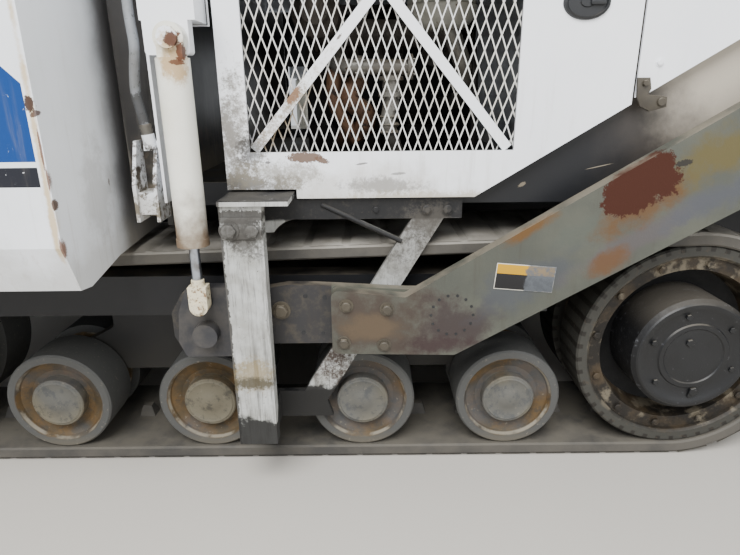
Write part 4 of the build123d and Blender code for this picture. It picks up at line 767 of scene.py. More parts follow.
def newMesh(shape, name="part"):
    mesh = bpy.data.meshes.new(name)
    shape.to_mesh(mesh)
    shape.free()
    return mesh


def evaluated(thing):
    view = bpy.context.evaluated_depsgraph_get()
    return bpy.data.meshes.new_from_object(thing.evaluated_get(view))


def addMesh(shape, mesh, matrix=Matrix()):
    start = len(shape.verts)
    shape.from_mesh(mesh)
    shape.verts.ensure_lookup_table()
    bmesh.ops.transform(shape, matrix=matrix, verts=shape.verts[start:])
    bpy.data.meshes.remove(mesh)


def addBox(shape, low, high, bevel=0.003, matrix=Matrix()):
    low, high = Vector(low), Vector(high)
    part = bmesh.new()
    bmesh.ops.create_cube(part, size=1)
    for vert in part.verts:
        vert.co = Vector([(low[k] + high[k]) / 2 + vert.co[k] * abs(high[k] - low[k]) for k in range(3)])
    bmesh.ops.bevel(part, geom=part.edges[:], offset=bevel, segments=2, affect="EDGES", profile=0.5)
    addMesh(shape, newMesh(part), matrix)


def addPlate(shape, outline, y0, y1, bevel):
    part = bmesh.new()
    face = part.faces.new([part.verts.new((x, y0, z)) for x, z in outline])
    made = bmesh.ops.extrude_face_region(part, geom=[face])["geom"]
    moved = [g for g in made if isinstance(g, bmesh.types.BMVert)]
    bmesh.ops.translate(part, vec=(0, y1 - y0, 0), verts=moved)
    bmesh.ops.recalc_face_normals(part, faces=part.faces)
    rims = [e for e in part.edges if abs(e.verts[0].co.y - e.verts[1].co.y) < 1e-6]
    bmesh.ops.bevel(part, geom=rims, offset=bevel, segments=2, affect="EDGES", profile=0.5)
    addMesh(shape, newMesh(part))


def turns(count, start=0.0):
    return [2 * math.pi * (k + start) / count for k in range(count)]


def circle(centre, radius, angles):
    return [(centre[0] + radius * math.cos(a), centre[1] + radius * math.sin(a)) for a in angles]


# A profile of (distance along the axis, radius), closed on the axis at both ends
def addTurned(shape, profile, base, along, sides=40):
    along = Vector(along).normalized()
    side = along.orthogonal().normalized()
    other = along.cross(side)
    rings = []
    for reach, radius in profile:
        centre = Vector(base) + along * reach
        spots = [side * a + other * b for a, b in circle((0, 0), radius, turns(sides))]
        rings.append([shape.verts.new(centre + spot) for spot in (spots if radius > 1e-6 else [Vector()])])
    for first, second in zip(rings, rings[1:]):
        for k in range(sides):
            corners = [first[k % len(first)], first[(k + 1) % len(first)],
                       second[(k + 1) % len(second)], second[k % len(second)]]
            unique = list(dict.fromkeys(corners))
            if len(unique) > 2:
                shape.faces.new(unique)


def addRod(shape, start, end, radius, sides=20, edge=0.0):
    along = Vector(end) - Vector(start)
    reach, edge = along.length, edge or min(radius * 0.15, 0.003)
    profile = [(0, 0), (0, radius - edge), (edge, radius), (reach - edge, radius), (reach, radius - edge), (reach, 0)]
    addTurned(shape, profile, start, along, sides)


# Faces between rings of as many points each
def addSkin(shape, rings):
    for first, second in zip(rings, rings[1:]):
        for j in range(len(first)):
            k = (j + 1) % len(first)
            shape.faces.new([first[j], first[k], second[k], second[j]])


def smoothLine(name, points, radius, rounds, steps):
    curve = bpy.data.curves.new(name, "CURVE")
    curve.dimensions = "3D"
    curve.bevel_depth = radius
    curve.bevel_resolution = rounds
    curve.use_fill_caps = True
    curve.resolution_u = steps
    spline = curve.splines.new("NURBS")
    spline.points.add(len(points) - 1)
    for point, at in zip(spline.points, points):
        point.co = (*at, 1)
    spline.order_u = min(3, len(points))
    spline.use_endpoint_u = True
    return linked(name, curve)


def addPipe(shape, points, radius):
    line = smoothLine("line", points, radius, 6, 8)
    mesh = evaluated(line)
    bpy.data.curves.remove(line.data)
    addMesh(shape, mesh)


def mirrorShape(shape):
    made = bmesh.ops.duplicate(shape, geom=shape.verts[:] + shape.edges[:] + shape.faces[:])["geom"]
    copied = [g for g in made if isinstance(g, bmesh.types.BMVert)]
    bmesh.ops.transform(shape, matrix=Matrix.Scale(-1, 4, (0, 1, 0)), verts=copied)
    bmesh.ops.reverse_faces(shape, faces=[g for g in made if isinstance(g, bmesh.types.BMFace)])


def place(name, mesh, finish, slot, body="tractor", replaces=(), degrees=38):
    mesh.name = name
    mesh.materials.clear()
    mesh.materials.append(finishes[finish])
    mesh.shade_smooth()
    mesh.set_sharp_from_angle(angle=math.radians(degrees))
    piece = linked(name, mesh)
    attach(piece, body)
    if replaces:
        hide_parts(*replaces)
    return piece


def finishShape(name, shape, *rest, both=False, **more):
    bmesh.ops.recalc_face_normals(shape, faces=shape.faces)
    if both:
        mirrorShape(shape)
    return place(name, newMesh(shape, name), *rest, **more)


# Geometry Nodes: one part on many places, each with its own turn and size

class PartTree(Tree):
    def __init__(self, name, inputs):
        self.tree = bpy.data.node_groups.new(name, "GeometryNodeTree")
        self.ids = {}
        face = self.tree.interface
        face.new_socket("Geometry", in_out="INPUT", socket_type="NodeSocketGeometry")
        for label, value in inputs.items():
            kind = "NodeSocketInt" if isinstance(value, int) else "NodeSocketFloat"
            self.ids[label] = face.new_socket(label, in_out="INPUT", socket_type=kind).identifier
        face.new_socket("Geometry", in_out="OUTPUT", socket_type="NodeSocketGeometry")
        given = self.tree.nodes.new("NodeGroupInput")
        self.given = {socket.name: Field(self, socket) for socket in given.outputs}

    def join(self, *parts):
        made = self.tree.nodes.new("GeometryNodeJoinGeometry")
        for part in parts:
            self.fill(made.inputs[0], part)
        return Field(self, made.outputs[0])

    def moved(self, part, **inputs):
        return self.node("GeometryNodeTransform", {"Geometry": part, **inputs})

    def barrel(self, sides, radius, depth, top=None):
        inputs = {"Vertices": sides, "Radius Bottom": radius, "Radius Top": top or radius, "Depth": depth}
        return self.node("GeometryNodeMeshCone", inputs, "Mesh")


def hexBolt(g):
    radius, height = g.given["Radius"], g.given["Height"]
    disc = g.barrel(20, radius * g.given["Washer"], height * 0.22)
    head = g.moved(g.barrel(6, radius, height * 0.7), Translation=g.vector(z=height * 0.22))
    crown = g.barrel(12, radius * 0.86, height * 0.12, radius * 0.7)
    return g.join(disc, head, g.moved(crown, Translation=g.vector(z=height * 0.92)))


def taperedBlock(g):
    width = g.given["Width"]
    half = width * math.sqrt(0.5)
    block = g.barrel(4, half, g.given["Height"], half * g.given["Taper"])
    block = g.moved(block, Rotation=(0, 0, math.pi / 4))
    return g.moved(block, Scale=g.vector(1, g.given["Length"] / width, 1))


def plainDisc(g):
    return g.barrel(24, g.given["Radius"], g.given["Height"], g.given["Radius"] * 0.96)


# Each place is a point, a turn and a scale
def scatter(name, places, makePart, sizes, *rest, degrees=30, **more):
    g = PartTree(name + "Tree", sizes)
    turn, size = [g.node("GeometryNodeInputNamedAttribute", {"Name": label}, data_type="FLOAT_VECTOR")
                  for label in ("turn", "size")]
    turned = g.node("FunctionNodeEulerToRotation", {"Euler": turn})
    inputs = {"Points": g.given["Geometry"], "Instance": makePart(g), "Rotation": turned, "Scale": size}
    copies = g.node("GeometryNodeInstanceOnPoints", inputs)
    real = g.node("GeometryNodeRealizeInstances", {"Geometry": copies})
    g.fill(g.tree.nodes.new("NodeGroupOutput").inputs[0], real)
    points = bpy.data.meshes.new(name)
    points.from_pydata([spot[0] for spot in places], [], [])
    for label, values in (("turn", [spot[1] for spot in places]), ("size", [(spot[2],) * 3 for spot in places])):
        made = points.attributes.new(label, "FLOAT_VECTOR", "POINT")
        made.data.foreach_set("vector", [c for value in values for c in value])
    holder = linked(name + "Points", points)
    modifier = holder.modifiers.new("parts", "NODES")
    modifier.node_group = g.tree
    for label, value in sizes.items():
        modifier[g.ids[label]] = value
    mesh = evaluated(holder)
    bpy.data.objects.remove(holder)
    for label in ("turn", "size"):
        if label in mesh.attributes:
            mesh.attributes.remove(mesh.attributes[label])
    return place(name, mesh, *rest, degrees=degrees, **more)


quarter = math.pi / 2


# Rows are x, z and a scale where it isn't 1
def sidePlaces(table, y, signs=(1, -1)):
    return [((x, sign * y, z), (-sign * quarter, 0, 0), size[0] if size else 1.0)
            for sign in signs for x, z, *size in table]


# Belts: a carcass swept round the loop, with tread lugs outside and guide blocks inside

beltShape = {
    "drive": (-0.97, 0.416, 0.366), "idler": (1.85, 0.38, 0.33),  # x, z, radius
    "inner": 0.843, "width": 0.457, "thick": 0.044, "steps": (24, 48),  # of a straight run, of an arc
    # count, way out, length, width, height, taper
    "Lugs": (62, 0.0435, 0.105, 0.449, 0.006, 0.8),
    "Guides": (44, 0.002, 0.062, 0.05, 0.044, 0.55),
}


# The loop's upper run, front arc, lower run and rear arc
def beltLoop():
    (ax, az, ar), (bx, bz, br) = beltShape["drive"], beltShape["idler"]
    reach = math.hypot(bx - ax, bz - az)
    turn = math.acos((ar - br) / reach)
    run = reach * math.sin(turn)
    return math.atan2(bz - az, bx - ax), turn, (run, 2 * turn * br, run, 2 * (math.pi - turn) * ar)


# Place and outward direction at a share of the loop's length, from the drive wheel's top forward
def beltPoint(share):
    drive, idler = beltShape["drive"], beltShape["idler"]
    lean, turn, spans = beltLoop()
    left, k = (share % 1.0) * sum(spans), 0
    while k < 3 and left >= spans[k]:
        left -= spans[k]
        k += 1
    angle, t = ((lean + turn, left / spans[0]), (lean + turn - left / idler[2], 1),
                (lean - turn, 1 - left / spans[2]), (lean - turn - left / drive[2], 0))[k]
    x, z, radius = [a + (b - a) * t for a, b in zip(drive, idler)]
    return x + radius * math.cos(angle), z + radius * math.sin(angle), angle


def makeBelts():
    look = beltShape
    spans, w, t = beltLoop()[2], look["width"], look["thick"]
    shares = []
    for k, span in enumerate(spans):
        steps = look["steps"][k % 2]
        shares += [(sum(spans[:k]) + span * j / steps) / sum(spans) for j in range(steps)]
    profile = [(0.006, 0), (w - 0.006, 0), (w, 0.006), (w, t - 0.009), (w - 0.008, t), (0.008, t), (0, t - 0.009),
               (0, 0.006)]
    for side, sign in sides:
        shape = bmesh.new()
        rings = []
        for x, z, angle in map(beltPoint, shares):
            rings.append([shape.verts.new((x + n * math.cos(angle), sign * (look["inner"] + y), z + n * math.sin(angle)))
                          for y, n in profile])
        addSkin(shape, rings + rings[:1])
        finishShape("beltCarcass_" + side, shape, "belt", "belt_rubber", replaces=["track_belt_" + side], degrees=30)
        middle = sign * (look["inner"] + w / 2)
        for kind, lean in (("Lugs", quarter), ("Guides", -quarter)):
            count, out, *size = look[kind]
            places = []
            for k in range(count):
                x, z, angle = beltPoint((k + 0.5) / count)
                places.append(((x + out * math.cos(angle), middle, z + out * math.sin(angle)), (0, lean - angle, 0), 1))
            scatter("belt" + kind + "_" + side, places, taperedBlock,
                    dict(zip(("Width", "Length", "Height", "Taper"), size)), "belt", "belt_rubber")
    print("belts made")


makeBelts()


# Expanded mesh in the doors: mirrored zigzag strands that meet at their knuckles

meshLook = {
    "rear": -0.337, "front": 0.46, "low": 1.082, "top": 1.57, "columns": 26, "halfRows": 12,
    "strandWide": 0.0055, "strandThick": 0.0035, "face": 1.3195, "layer": 0.0012, "overlap": 0.0004,
}


def zigzag(g):
    line = g.node("GeometryNodeCurvePrimitiveLine", {"End": g.vector(z=g.given["Height"])})
    line = g.node("GeometryNodeResampleCurve", {"Curve": line, "Count": g.given["Half rows"] + 1})
    swing = g.node("GeometryNodeInputIndex") % 2 * (g.given["Pitch"] * 0.5)
    line = g.node("GeometryNodeSetPosition", {"Geometry": line, "Offset": g.vector(swing)})
    cut = {"Width": g.given["Strand"], "Height": g.given["Thick"]}
    cut = g.node("GeometryNodeCurvePrimitiveQuadrilateral", cut)
    return g.node("GeometryNodeCurveToMesh", {"Curve": line, "Profile Curve": cut, "Fill Caps": True})


def makeMesh():
    look = meshLook
    pitch = (look["front"] - look["rear"]) / look["columns"]
    sizes = {"Half rows": look["halfRows"], "Pitch": pitch, "Height": look["top"] - look["low"],
             "Strand": look["strandWide"], "Thick": look["strandThick"]}
    for side, sign in sides:
        places = []
        for column in range(look["columns"]):
            x = look["rear"] + column * pitch
            lap, face = look["overlap"], look["face"]
            places.append(((x + lap, sign * face, look["low"]), (0, 0, 0), 1))
            places.append(((x + pitch - lap, sign * (face - look["layer"]), look["low"]), (0, 0, math.pi), 1))
        scatter("expandedMesh_" + side, places, zigzag, sizes, "mesh", "grille_steel", "door_" + side,
                ["door_grille_" + side], degrees=20)
    print("door meshes made")


makeMesh()


# Bolts on the towing gear, wheels and bodywork

boltLook = {"Radius": 0.0165, "Height": 0.013, "Washer": 1.35}
ringBolt = {"Radius": 0.014, "Height": 0.012, "Washer": 1.2, "count": 12, "ring": 0.3, "face": 1.268}
armBolts = [(0.174, 0.637), (0.049, 0.625), (0.184, 0.512), (0.058, 0.504)]

boltTables = {
    # piece: finish, slot, body, signs, y, places as x, z, size
    "armBolts_left": ("armBolt", "arm_steel", "screed", (1,), 1.4195, armBolts),
    "armBolts_right": ("armBolt", "arm_steel", "screed", (-1,), 1.4195, armBolts),
    "noseBolts": ("armBolt", "arm_steel", "screed", (1, -1), 1.3705, [(0.382, 0.605, 1.35)]),
    "columnBolts": ("column", "guide_steel", "tractor", (1, -1), 1.4855, [(0.495, 0.893, 1.3), (0.43, 0.893, 1.2)]),
    "hangerBolts": ("column", "guide_steel", "tractor", (1, -1), 1.3225,
                    [(-0.075, 0.916, 0.9), (-0.14, 0.916, 0.9), (0.08, 0.916, 0.6)]),
    "panelBolts": ("white", "white_paint", "tractor", (1, -1), 1.3395,
                   [(x, z, 0.55) for x, z in ((-0.72, 1.33), (-0.98, 1.48), (-1.25, 1.64), (-1.55, 1.64),
                                              (-1.86, 1.64), (-0.72, 1.76), (-1.25, 1.76), (-1.86, 1.76))]),
}

holeTables = {
    # piece: y, radius, places
    "armHoles": (1.4198, 0.0046, circle((-0.152, 0.603), 0.065, turns(14))),
    "noseHoles": (1.3708, 0.0075, [(0.304, 0.652), (0.243, 0.647), (0.315, 0.528), (0.252, 0.525)]),
}


def makeBolts():
    for name, (finish, slot, body, signs, y, table) in boltTables.items():
        scatter(name, sidePlaces(table, y, signs), hexBolt, boltLook, finish, slot, body)
    for side, sign in sides:
        for name, (y, radius, table) in holeTables.items():
            scatter(name + "_" + side, sidePlaces(table, y, (sign,)), plainDisc,
                    {"Radius": radius, "Height": 0.0012}, "black", "arm_steel", "screed")
    sizes = {key: ringBolt[key] for key in boltLook}
    ring = circle(hubLook["drive"], ringBolt["ring"], turns(ringBolt["count"], 0.3))
    scatter("driveRingBolts", sidePlaces(ring, ringBolt["face"]), hexBolt, sizes, "drive", "wheel_steel")
    print("bolts made")


# Final drive's cover and the rollers' hub caps

hubLook = {
    "driveFace": 1.345, "drive": (-0.97, 0.416), "rollerFace": 1.2975,
    "coverBolts": (20, 75, 140, 200, 265, 320), "boltRing": 0.145,
    "plugs": ((-0.02, -0.13, 0.012, 0.017), (0.02, 0.05, 0.01, 0.014)),  # x, z, height, radius
}

coverProfile = [(-0.02, 0), (-0.02, 0.185), (0.001, 0.188), (0.005, 0.183), (0.005, 0.168), (0.002, 0.164),
                (0.002, 0.118), (0.007, 0.114), (0.007, 0.1), (0.0035, 0.096), (0.0035, 0)]
rollerProfile = [(-0.004, 0), (-0.004, 0.084), (0.001, 0.082), (0.0035, 0.077), (0.001, 0.072), (0.001, 0.034),
                 (0.0035, 0.03), (0.0035, 0)]
idlerProfile = [(-0.004, 0), (-0.004, 0.125), (0.0015, 0.123), (0.0035, 0.112), (0.001, 0.106), (0.001, 0.04),
                (0.004, 0.026), (0.004, 0)]


def makeHubs():
    (x, z), y = hubLook["drive"], hubLook["driveFace"]
    shape = bmesh.new()
    addTurned(shape, coverProfile, (x, y - 0.001, z), (0, 1, 0), 64)
    for a, b in circle((x, z), hubLook["boltRing"], map(math.radians, hubLook["coverBolts"])):
        addRod(shape, (a, y, b), (a, y + 0.008, b), 0.011, 6)
    for a, b, high, radius in hubLook["plugs"]:
        addRod(shape, (x + a, y, z + b), (x + a, y + high, z + b), radius, 6)
    finishShape("driveCover", shape, "hubCover", "wheel_steel", both=True)
    shape = bmesh.new()
    for x, z in wheelLook["axles"]:
        addTurned(shape, rollerProfile, (x, hubLook["rollerFace"], z), (0, 1, 0))
    x, z = wheelLook["idler"]
    addTurned(shape, idlerProfile, (x, hubLook["rollerFace"], z), (0, 1, 0))
    finishShape("rollerCaps", shape, "roller", "wheel_steel", both=True)
    print("hubs made")


makeBolts()
makeHubs()


# The hose beside the front post: its route is the CAD's, held in a fitting at each end

hoseShape = {
    "route": [(0.735, 1.362, 1.150), (0.742, 1.366, 1.205), (0.752, 1.369, 1.262), (0.745, 1.372, 1.322),
              (0.735, 1.370, 1.384), (0.742, 1.364, 1.444), (0.746, 1.356, 1.500), (0.744, 1.350, 1.552)],
    "diameter": 0.028, "length": 0.406,
}

ferruleProfile = [(-0.004, 0), (-0.004, 0.015), (0, 0.0172), (0.005, 0.0158), (0.01, 0.0174), (0.015, 0.0158),
                  (0.02, 0.0174), (0.026, 0.0165), (0.028, 0.0142), (0.028, 0)]


def makeHose():
    route, thick = hoseShape["route"], hoseShape["diameter"]
    hose = smoothLine("guideHose", route, thick / 2, 5, 10)
    hose.data.materials.append(finishes["hose"])
    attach(hose, "tractor")
    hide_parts("hydraulic_hose")
    shape = bmesh.new()
    for end, inner in ((route[0], route[1]), (route[-1], route[-2])):
        addTurned(shape, ferruleProfile, end, Vector(inner) - Vector(end), 24)
    ferrules = finishShape("hoseFerrules", shape, "bare", "bare_steel")
    print("hose made")


makeHose()


# Small pieces on the doors, rear panels and towing arms

latchLook = {
    "centre": (-0.498, 1.3405, 1.485), "radius": 0.045, "long": 1.45,
    "profile": [(0, 0), (0, 1), (0.006, 0.96), (0.008, 0.86), (0.004, 0.8), (0.004, 0.3), (0.007, 0.26), (0.007, 0)],
}

catchLook = {
    "outline": [(-0.66, 1.290), (-0.695, 1.290), (-0.702, 1.260), (-0.695, 1.244), (-0.75, 1.238), (-0.752, 1.210),
                (-0.705, 1.198), (-0.675, 1.212), (-0.665, 1.238)],
    "face": 1.3402, "thick": 0.0118,
    "bolts": [(-0.682, 1.275, 0.0198, 0.009, 6), (-0.735, 1.224, 0.0178, 0.012, 16)],  # x, z, height, radius, sides
}


def makePlate(side, sign):
    (x, z), (long, high) = plateLook["centre"], plateLook["half"]
    shape = bmesh.new()
    turned = Matrix.Rotation(math.radians(plateLook["turn"]), 4, "Y")
    turned = Matrix.Translation((x, sign * plateLook["face"], z)) @ turned
    addBox(shape, (-long, 0, -high), (long, sign * 0.0014, high), 0.0004, turned)
    finishShape("blankPlate_" + side, shape, "plate", "arm_steel", "screed")


def makeLatch(side, sign):
    x, y, z = latchLook["centre"]
    shape = bmesh.new()
    profile = [(reach, radius * latchLook["radius"]) for reach, radius in latchLook["profile"]]
    addTurned(shape, profile, (x, sign * y, z), (0, sign, 0), 48)
    for vert in shape.verts:
        vert.co.x = x + (vert.co.x - x) * latchLook["long"]
    addBox(shape, (x - 0.05, sign * (y + 0.0035), z - 0.008), (x - 0.008, sign * (y + 0.0125), z + 0.008))
    finishShape("doorLatch_" + side, shape, "black", "white_paint", "door_" + side)


def makeCatch(side, sign):
    face = catchLook["face"]
    shape = bmesh.new()
    addPlate(shape, catchLook["outline"], sign * face, sign * (face + catchLook["thick"]), 0.002)
    for x, z, high, radius, around in catchLook["bolts"]:
        addRod(shape, (x, sign * (face - 0.0002), z), (x, sign * (face + high), z), radius, around)
    finishShape("panelCatch_" + side, shape, "armBolt", "white_paint")


for side, sign in sides:
    makePlate(side, sign)
    makeLatch(side, sign)
    makeCatch(side, sign)
clamp = bmesh.new()
addBox(clamp, (0.403, 1.4803, 0.866), (0.521, 1.4865, 0.93))
finishShape("columnClamp", clamp, "column", "guide_steel", both=True)
print("small pieces made")


# Engine pieces behind the doors' mesh

ports = (-0.2, 0.0, 0.2)

engineLook = {
    # pipes: radius and points; flanges: centre, direction, radius, thickness; turned: base, direction, sides, profile
    "exhaustManifold": {
        "finish": "manifold", "replaces": ["engine_fittings"],
        "pipes": [(0.05, (-0.25, 0.64, 1.47), (0, 0.645, 1.475), (0.3, 0.64, 1.48)),
                  *[(0.034, (x, 0.332, 1.42), (x, 0.5, 1.45), (x + 0.01, 0.64, 1.475)) for x in ports],
                  (0.045, (0.285, 0.86, 1.55), (0.285, 0.9, 1.6), (0.285, 0.88, 1.7))],
        "flanges": [*[((x, 0.345, 1.42), (0, 1, 0), 0.058, 0.012) for x in ports],
                    ((0.3, 0.64, 1.48), (1, 0, 0), 0.07, 0.014)],
        "turned": [((0.285, 0.7, 1.53), (0, 1, 0), 40,
                    [(0, 0), (0, 0.045), (0.02, 0.07), (0.05, 0.088), (0.09, 0.092), (0.13, 0.085), (0.15, 0.06),
                     (0.165, 0.05), (0.2, 0.048), (0.2, 0)])]},
    "turboPipes": {
        "finish": "rusty",
        "pipes": [(0.034, (0.12, 1, 1.3), (0.165, 1.02, 1.27), (0.155, 1.02, 1.22), (0.1, 1, 1.19), (0.12, 0.98, 1.12),
                   (0.2, 0.7, 1.08)),
                  (0.026, (0.21, 1, 1.33), (0.225, 1, 1.26), (0.2, 0.98, 1.18), (0.14, 0.95, 1.1))]},
    "airCanister": {
        "finish": "canister", "boxes": [((-0.19, 0.86, 1.5), (-0.09, 0.89, 1.62), 0.004)],
        "turned": [((-0.142, 1.01, 1.452), (0, 0, 1), 48,
                    [(0, 0), (0, 0.07), (0.012, 0.09), (0.03, 0.106), (0.05, 0.112), (0.06, 0.116), (0.068, 0.116),
                     (0.072, 0.112), (0.2, 0.112), (0.215, 0.096), (0.22, 0)])]},
    "enginePipes": {
        "finish": "alloy",
        "pipes": [(0.024, (0.155, 1.09, 1.337), (0.05, 1.09, 1.335), (-0.035, 1.09, 1.334)),
                  (0.024, (0.155, 1.09, 1.337), (0.2, 1.07, 1.337), (0.21, 0.95, 1.36), (0.22, 0.72, 1.45)),
                  (0.028, (0.025, 1.09, 1.31), (0.025, 1.09, 1.24), (0.025, 1.09, 1.2)),
                  (0.025, (0.025, 1.09, 1.22), (0.04, 1.1, 1.17), (0.025, 1.09, 1.12), (0, 1, 1.05), (-0.02, 0.7, 1.02)),
                  (0.03, (-0.22, 0.34, 1.2), (-0.25, 0.8, 1.22), (-0.24, 0.98, 1.3), (-0.2, 1, 1.4), (-0.17, 1, 1.46))],
        "flanges": [((-0.036, 1.09, 1.334), (1, 0, 0), 0.04, 0.016), ((0.125, 1.09, 1.336), (1, 0, 0), 0.034, 0.016),
                    ((0.025, 1.09, 1.25), (0, 0, 1), 0.042, 0.014), ((0.025, 1.09, 1.3), (0, 0, 1), 0.04, 0.012)],
        "turned": [((0.03, 1.09, z), (0, 0, 1), 24,
                    [(-0.007, 0), (-0.007, 0.027), (0, 0.0351), (0.007, 0.027), (0.007, 0)])
                   for z in (1.13, 1.155, 1.18)]},
    "engineFittings": {
        "finish": "iron", "boxes": [((-0.34, 0.331, 1.02), (-0.06, 0.42, 1.12), 0.008),
                                    ((0.04, 0.331, 0.98), (0.22, 0.45, 1.08), 0.012)],
        "pipes": [*[(0.012, (-0.36, 0.345, z), (-0.1, 0.36, z + 0.02), (0.12, 0.352, z - 0.01), (0.37, 0.35, z + 0.01))
                    for z in (1.0, 1.14, 1.5, 1.58)],
                  (0.011, (-0.3, 1.2, 0.96), (-0.2, 1.2, 1.04), (-0.12, 1.19, 1), (0, 1.2, 0.975), (0.12, 1.2, 0.96)),
                  (0.012, (-0.28, 0.95, 0.96), (-0.27, 1, 1.1), (-0.26, 1.02, 1.3), (-0.26, 0.9, 1.5), (-0.2, 0.5, 1.6))],
        "turned": [((-0.3, 0.4, 1.05), (0, 0, -1), 28,
                    [(0, 0), (0, 0.04), (0.004, 0.046), (0.11, 0.046), (0.12, 0.036), (0.12, 0)]),
                   ((0.3, 0.331, 1.08), (0, 1, 0), 28,
                    [(0, 0), (0, 0.055), (0.004, 0.06), (0.14, 0.06), (0.146, 0.03), (0.146, 0)])]},
}


def addFlange(shape, centre, along, radius, thick):
    centre, along = Vector(centre), Vector(along)
    half = thick / 2
    addTurned(shape, [(-half, 0), (-half, radius), (half, radius), (half, 0)], centre, along, 32)
    side = along.orthogonal().normalized()
    for a, b in circle((0, 0), radius * 0.8, turns(4)):
        at = centre + side * a + along.cross(side) * b
        addRod(shape, at - along * thick, at + along * thick, radius * 0.1, 6)


def makeEngine():
    for name, look in engineLook.items():
        shape = bmesh.new()
        for radius, *points in look.get("pipes", ()):
            addPipe(shape, points, radius)
        for flange in look.get("flanges", ()):
            addFlange(shape, *flange)
        for base, along, around, profile in look.get("turned", ()):
            addTurned(shape, profile, base, along, around)
        for low, high, bevel in look.get("boxes", ()):
            addBox(shape, low, high, bevel)
        finishShape(name, shape, look["finish"], "engine_iron", replaces=look.get("replaces"))
    print("engine pieces made")


makeEngine()


# Seats: padded cushions with sewn channels

seatLook = {
    "x": -1.45, "sides": (0.76, -0.76), "base": (2.181, 2.288), "back": (2.293, 2.738),
    "voxel": 0.009, "pressure": 3.2, "steps": 14, "cap": 0.014, "channelHalf": 0.02, "channelDeep": 0.008,
}


def swell(pad):
    cloth = pad.modifiers.new("cloth", "CLOTH")
    cloth.settings.use_pressure = True
    cloth.settings.uniform_pressure_force = seatLook["pressure"]
    cloth.settings.effector_weights.gravity = 0
    cloth.settings.quality = 5
    for step in range(1, seatLook["steps"] + 1):
        bpy.context.scene.frame_set(step)
    pad.data = evaluated(pad)
    pad.modifiers.clear()
    bpy.context.scene.frame_set(1)


def makeCushion(low, high, channels, axis):
    shape = bmesh.new()
    addBox(shape, low, high, min(high[k] - low[k] for k in range(3)) * 0.22)
    pad = linked("pad", newMesh(shape, "pad"))
    remesh = pad.modifiers.new("even", "REMESH")
    remesh.mode = "VOXEL"
    remesh.voxel_size = seatLook["voxel"]
    pad.data = evaluated(pad)
    pad.modifiers.clear()
    rest = [v.co.copy() for v in pad.data.vertices]
    swell(pad)
    middle = [(low[k] + high[k]) / 2 for k in range(3)]
    cap, half = seatLook["cap"], seatLook["channelHalf"]
    for vert, home in zip(pad.data.vertices, rest):
        away = vert.co - home
        if away.length > cap:
            vert.co = home + away.normalized() * cap
        for channel in channels:
            near = abs(vert.co[1] - (middle[1] + channel))
            if near < half:
                deep = seatLook["channelDeep"] * (1 - near / half) ** 1.5
                towards = middle[axis] - vert.co[axis]
                vert.co[axis] += math.copysign(min(deep, abs(towards)), towards)
        for k in range(3):
            vert.co[k] = min(max(vert.co[k], low[k]), high[k])
    done = pad.data
    bpy.data.objects.remove(pad)
    return done


def makeSeats():
    look = seatLook
    x, (z0, z1), (b0, b1) = look["x"], look["base"], look["back"]
    base = makeCushion((x - 0.1, -0.233, z0), (x + 0.238, 0.233, z1), (-0.12, 0.12), 2)
    back = makeCushion((x - 0.203, -0.223, b0), (x - 0.112, 0.223, b1), (-0.11, 0.11), 0)
    for (side, sign), y in zip(sides, look["sides"]):
        for kind, source in (("Base", base), ("Back", back)):
            mesh = source.copy()
            mesh.transform(Matrix.Translation((0, y, 0)))
            replaced = ["seat_cushions"] if side == "left" and kind == "Base" else ()
            pad = place("seat" + kind + "_" + side, mesh, "vinyl", "seat_vinyl", replaces=replaced, degrees=180)
        shape = bmesh.new()
        for end in (-1, 1):
            bends = ((-0.2, 0.2, 2.16), (-0.2, 0.262, 2.17), (-0.18, 0.268, 2.33), (-0.02, 0.268, 2.38),
                     (0.12, 0.268, 2.36))
            addPipe(shape, [(x + a, y + end * b, z) for a, b, z in bends], 0.011)
            rest = y + end * 0.268
            addBox(shape, (x - 0.06, rest - 0.024, 2.375), (x + 0.15, rest + 0.024, 2.402), 0.008)
        for level in range(6):
            half, z = 0.082 - 0.004 * (level % 2), 1.96 + level * 0.03
            addBox(shape, (x - half, y - half, z), (x + half, y + half, z + 0.024), 0.006)
        finishShape("seatArms_" + side, shape, "black", "lamp_housing")
    print("seats made")


makeSeats()


# Consoles, lamps and the platform's surfaces

deckLook = {
    "rear": -1.93, "front": -0.70, "half": 1.30, "top": 1.8303, "pitch": 0.062,
    "bar": {"Width": 0.009, "Length": 0.034, "Height": 0.0022, "Taper": 0.6},
}

consoleLook = {
    "x": -0.98, "z": 2.628, "slope": -24.8,  # degrees
    "columns": (-0.08, -0.035, 0.01), "rows": (-0.19, -0.16, -0.13, -0.1, -0.07, -0.04),
    "button": {"Radius": 0.009, "Height": 0.006}, "stop": (0.04, 0.19, 0), "levers": (0.03, 0.08, 0.13),
    "stopProfile": [(0, 0), (0, 0.014), (0.012, 0.014), (0.014, 0.024), (0.024, 0.024), (0.028, 0.018), (0.028, 0)],
    "knobProfile": [(0, 0), (0, 0.007), (0.01, 0.014), (0.022, 0.015), (0.032, 0.009), (0.034, 0)],
    "bootProfile": [(0, 0), (0, 0.019), (0.005, 0.016), (0.012, 0.008), (0.012, 0)],
}

steeringLook = {
    "hub": (-1.10, 0.76, 2.60), "slope": -38, "rim": 0.115, "column": (-1.0, 0.76, 2.50),
    "hubProfile": [(-0.03, 0), (-0.03, 0.02), (-0.004, 0.026), (0.004, 0.02), (0.004, 0)],
}


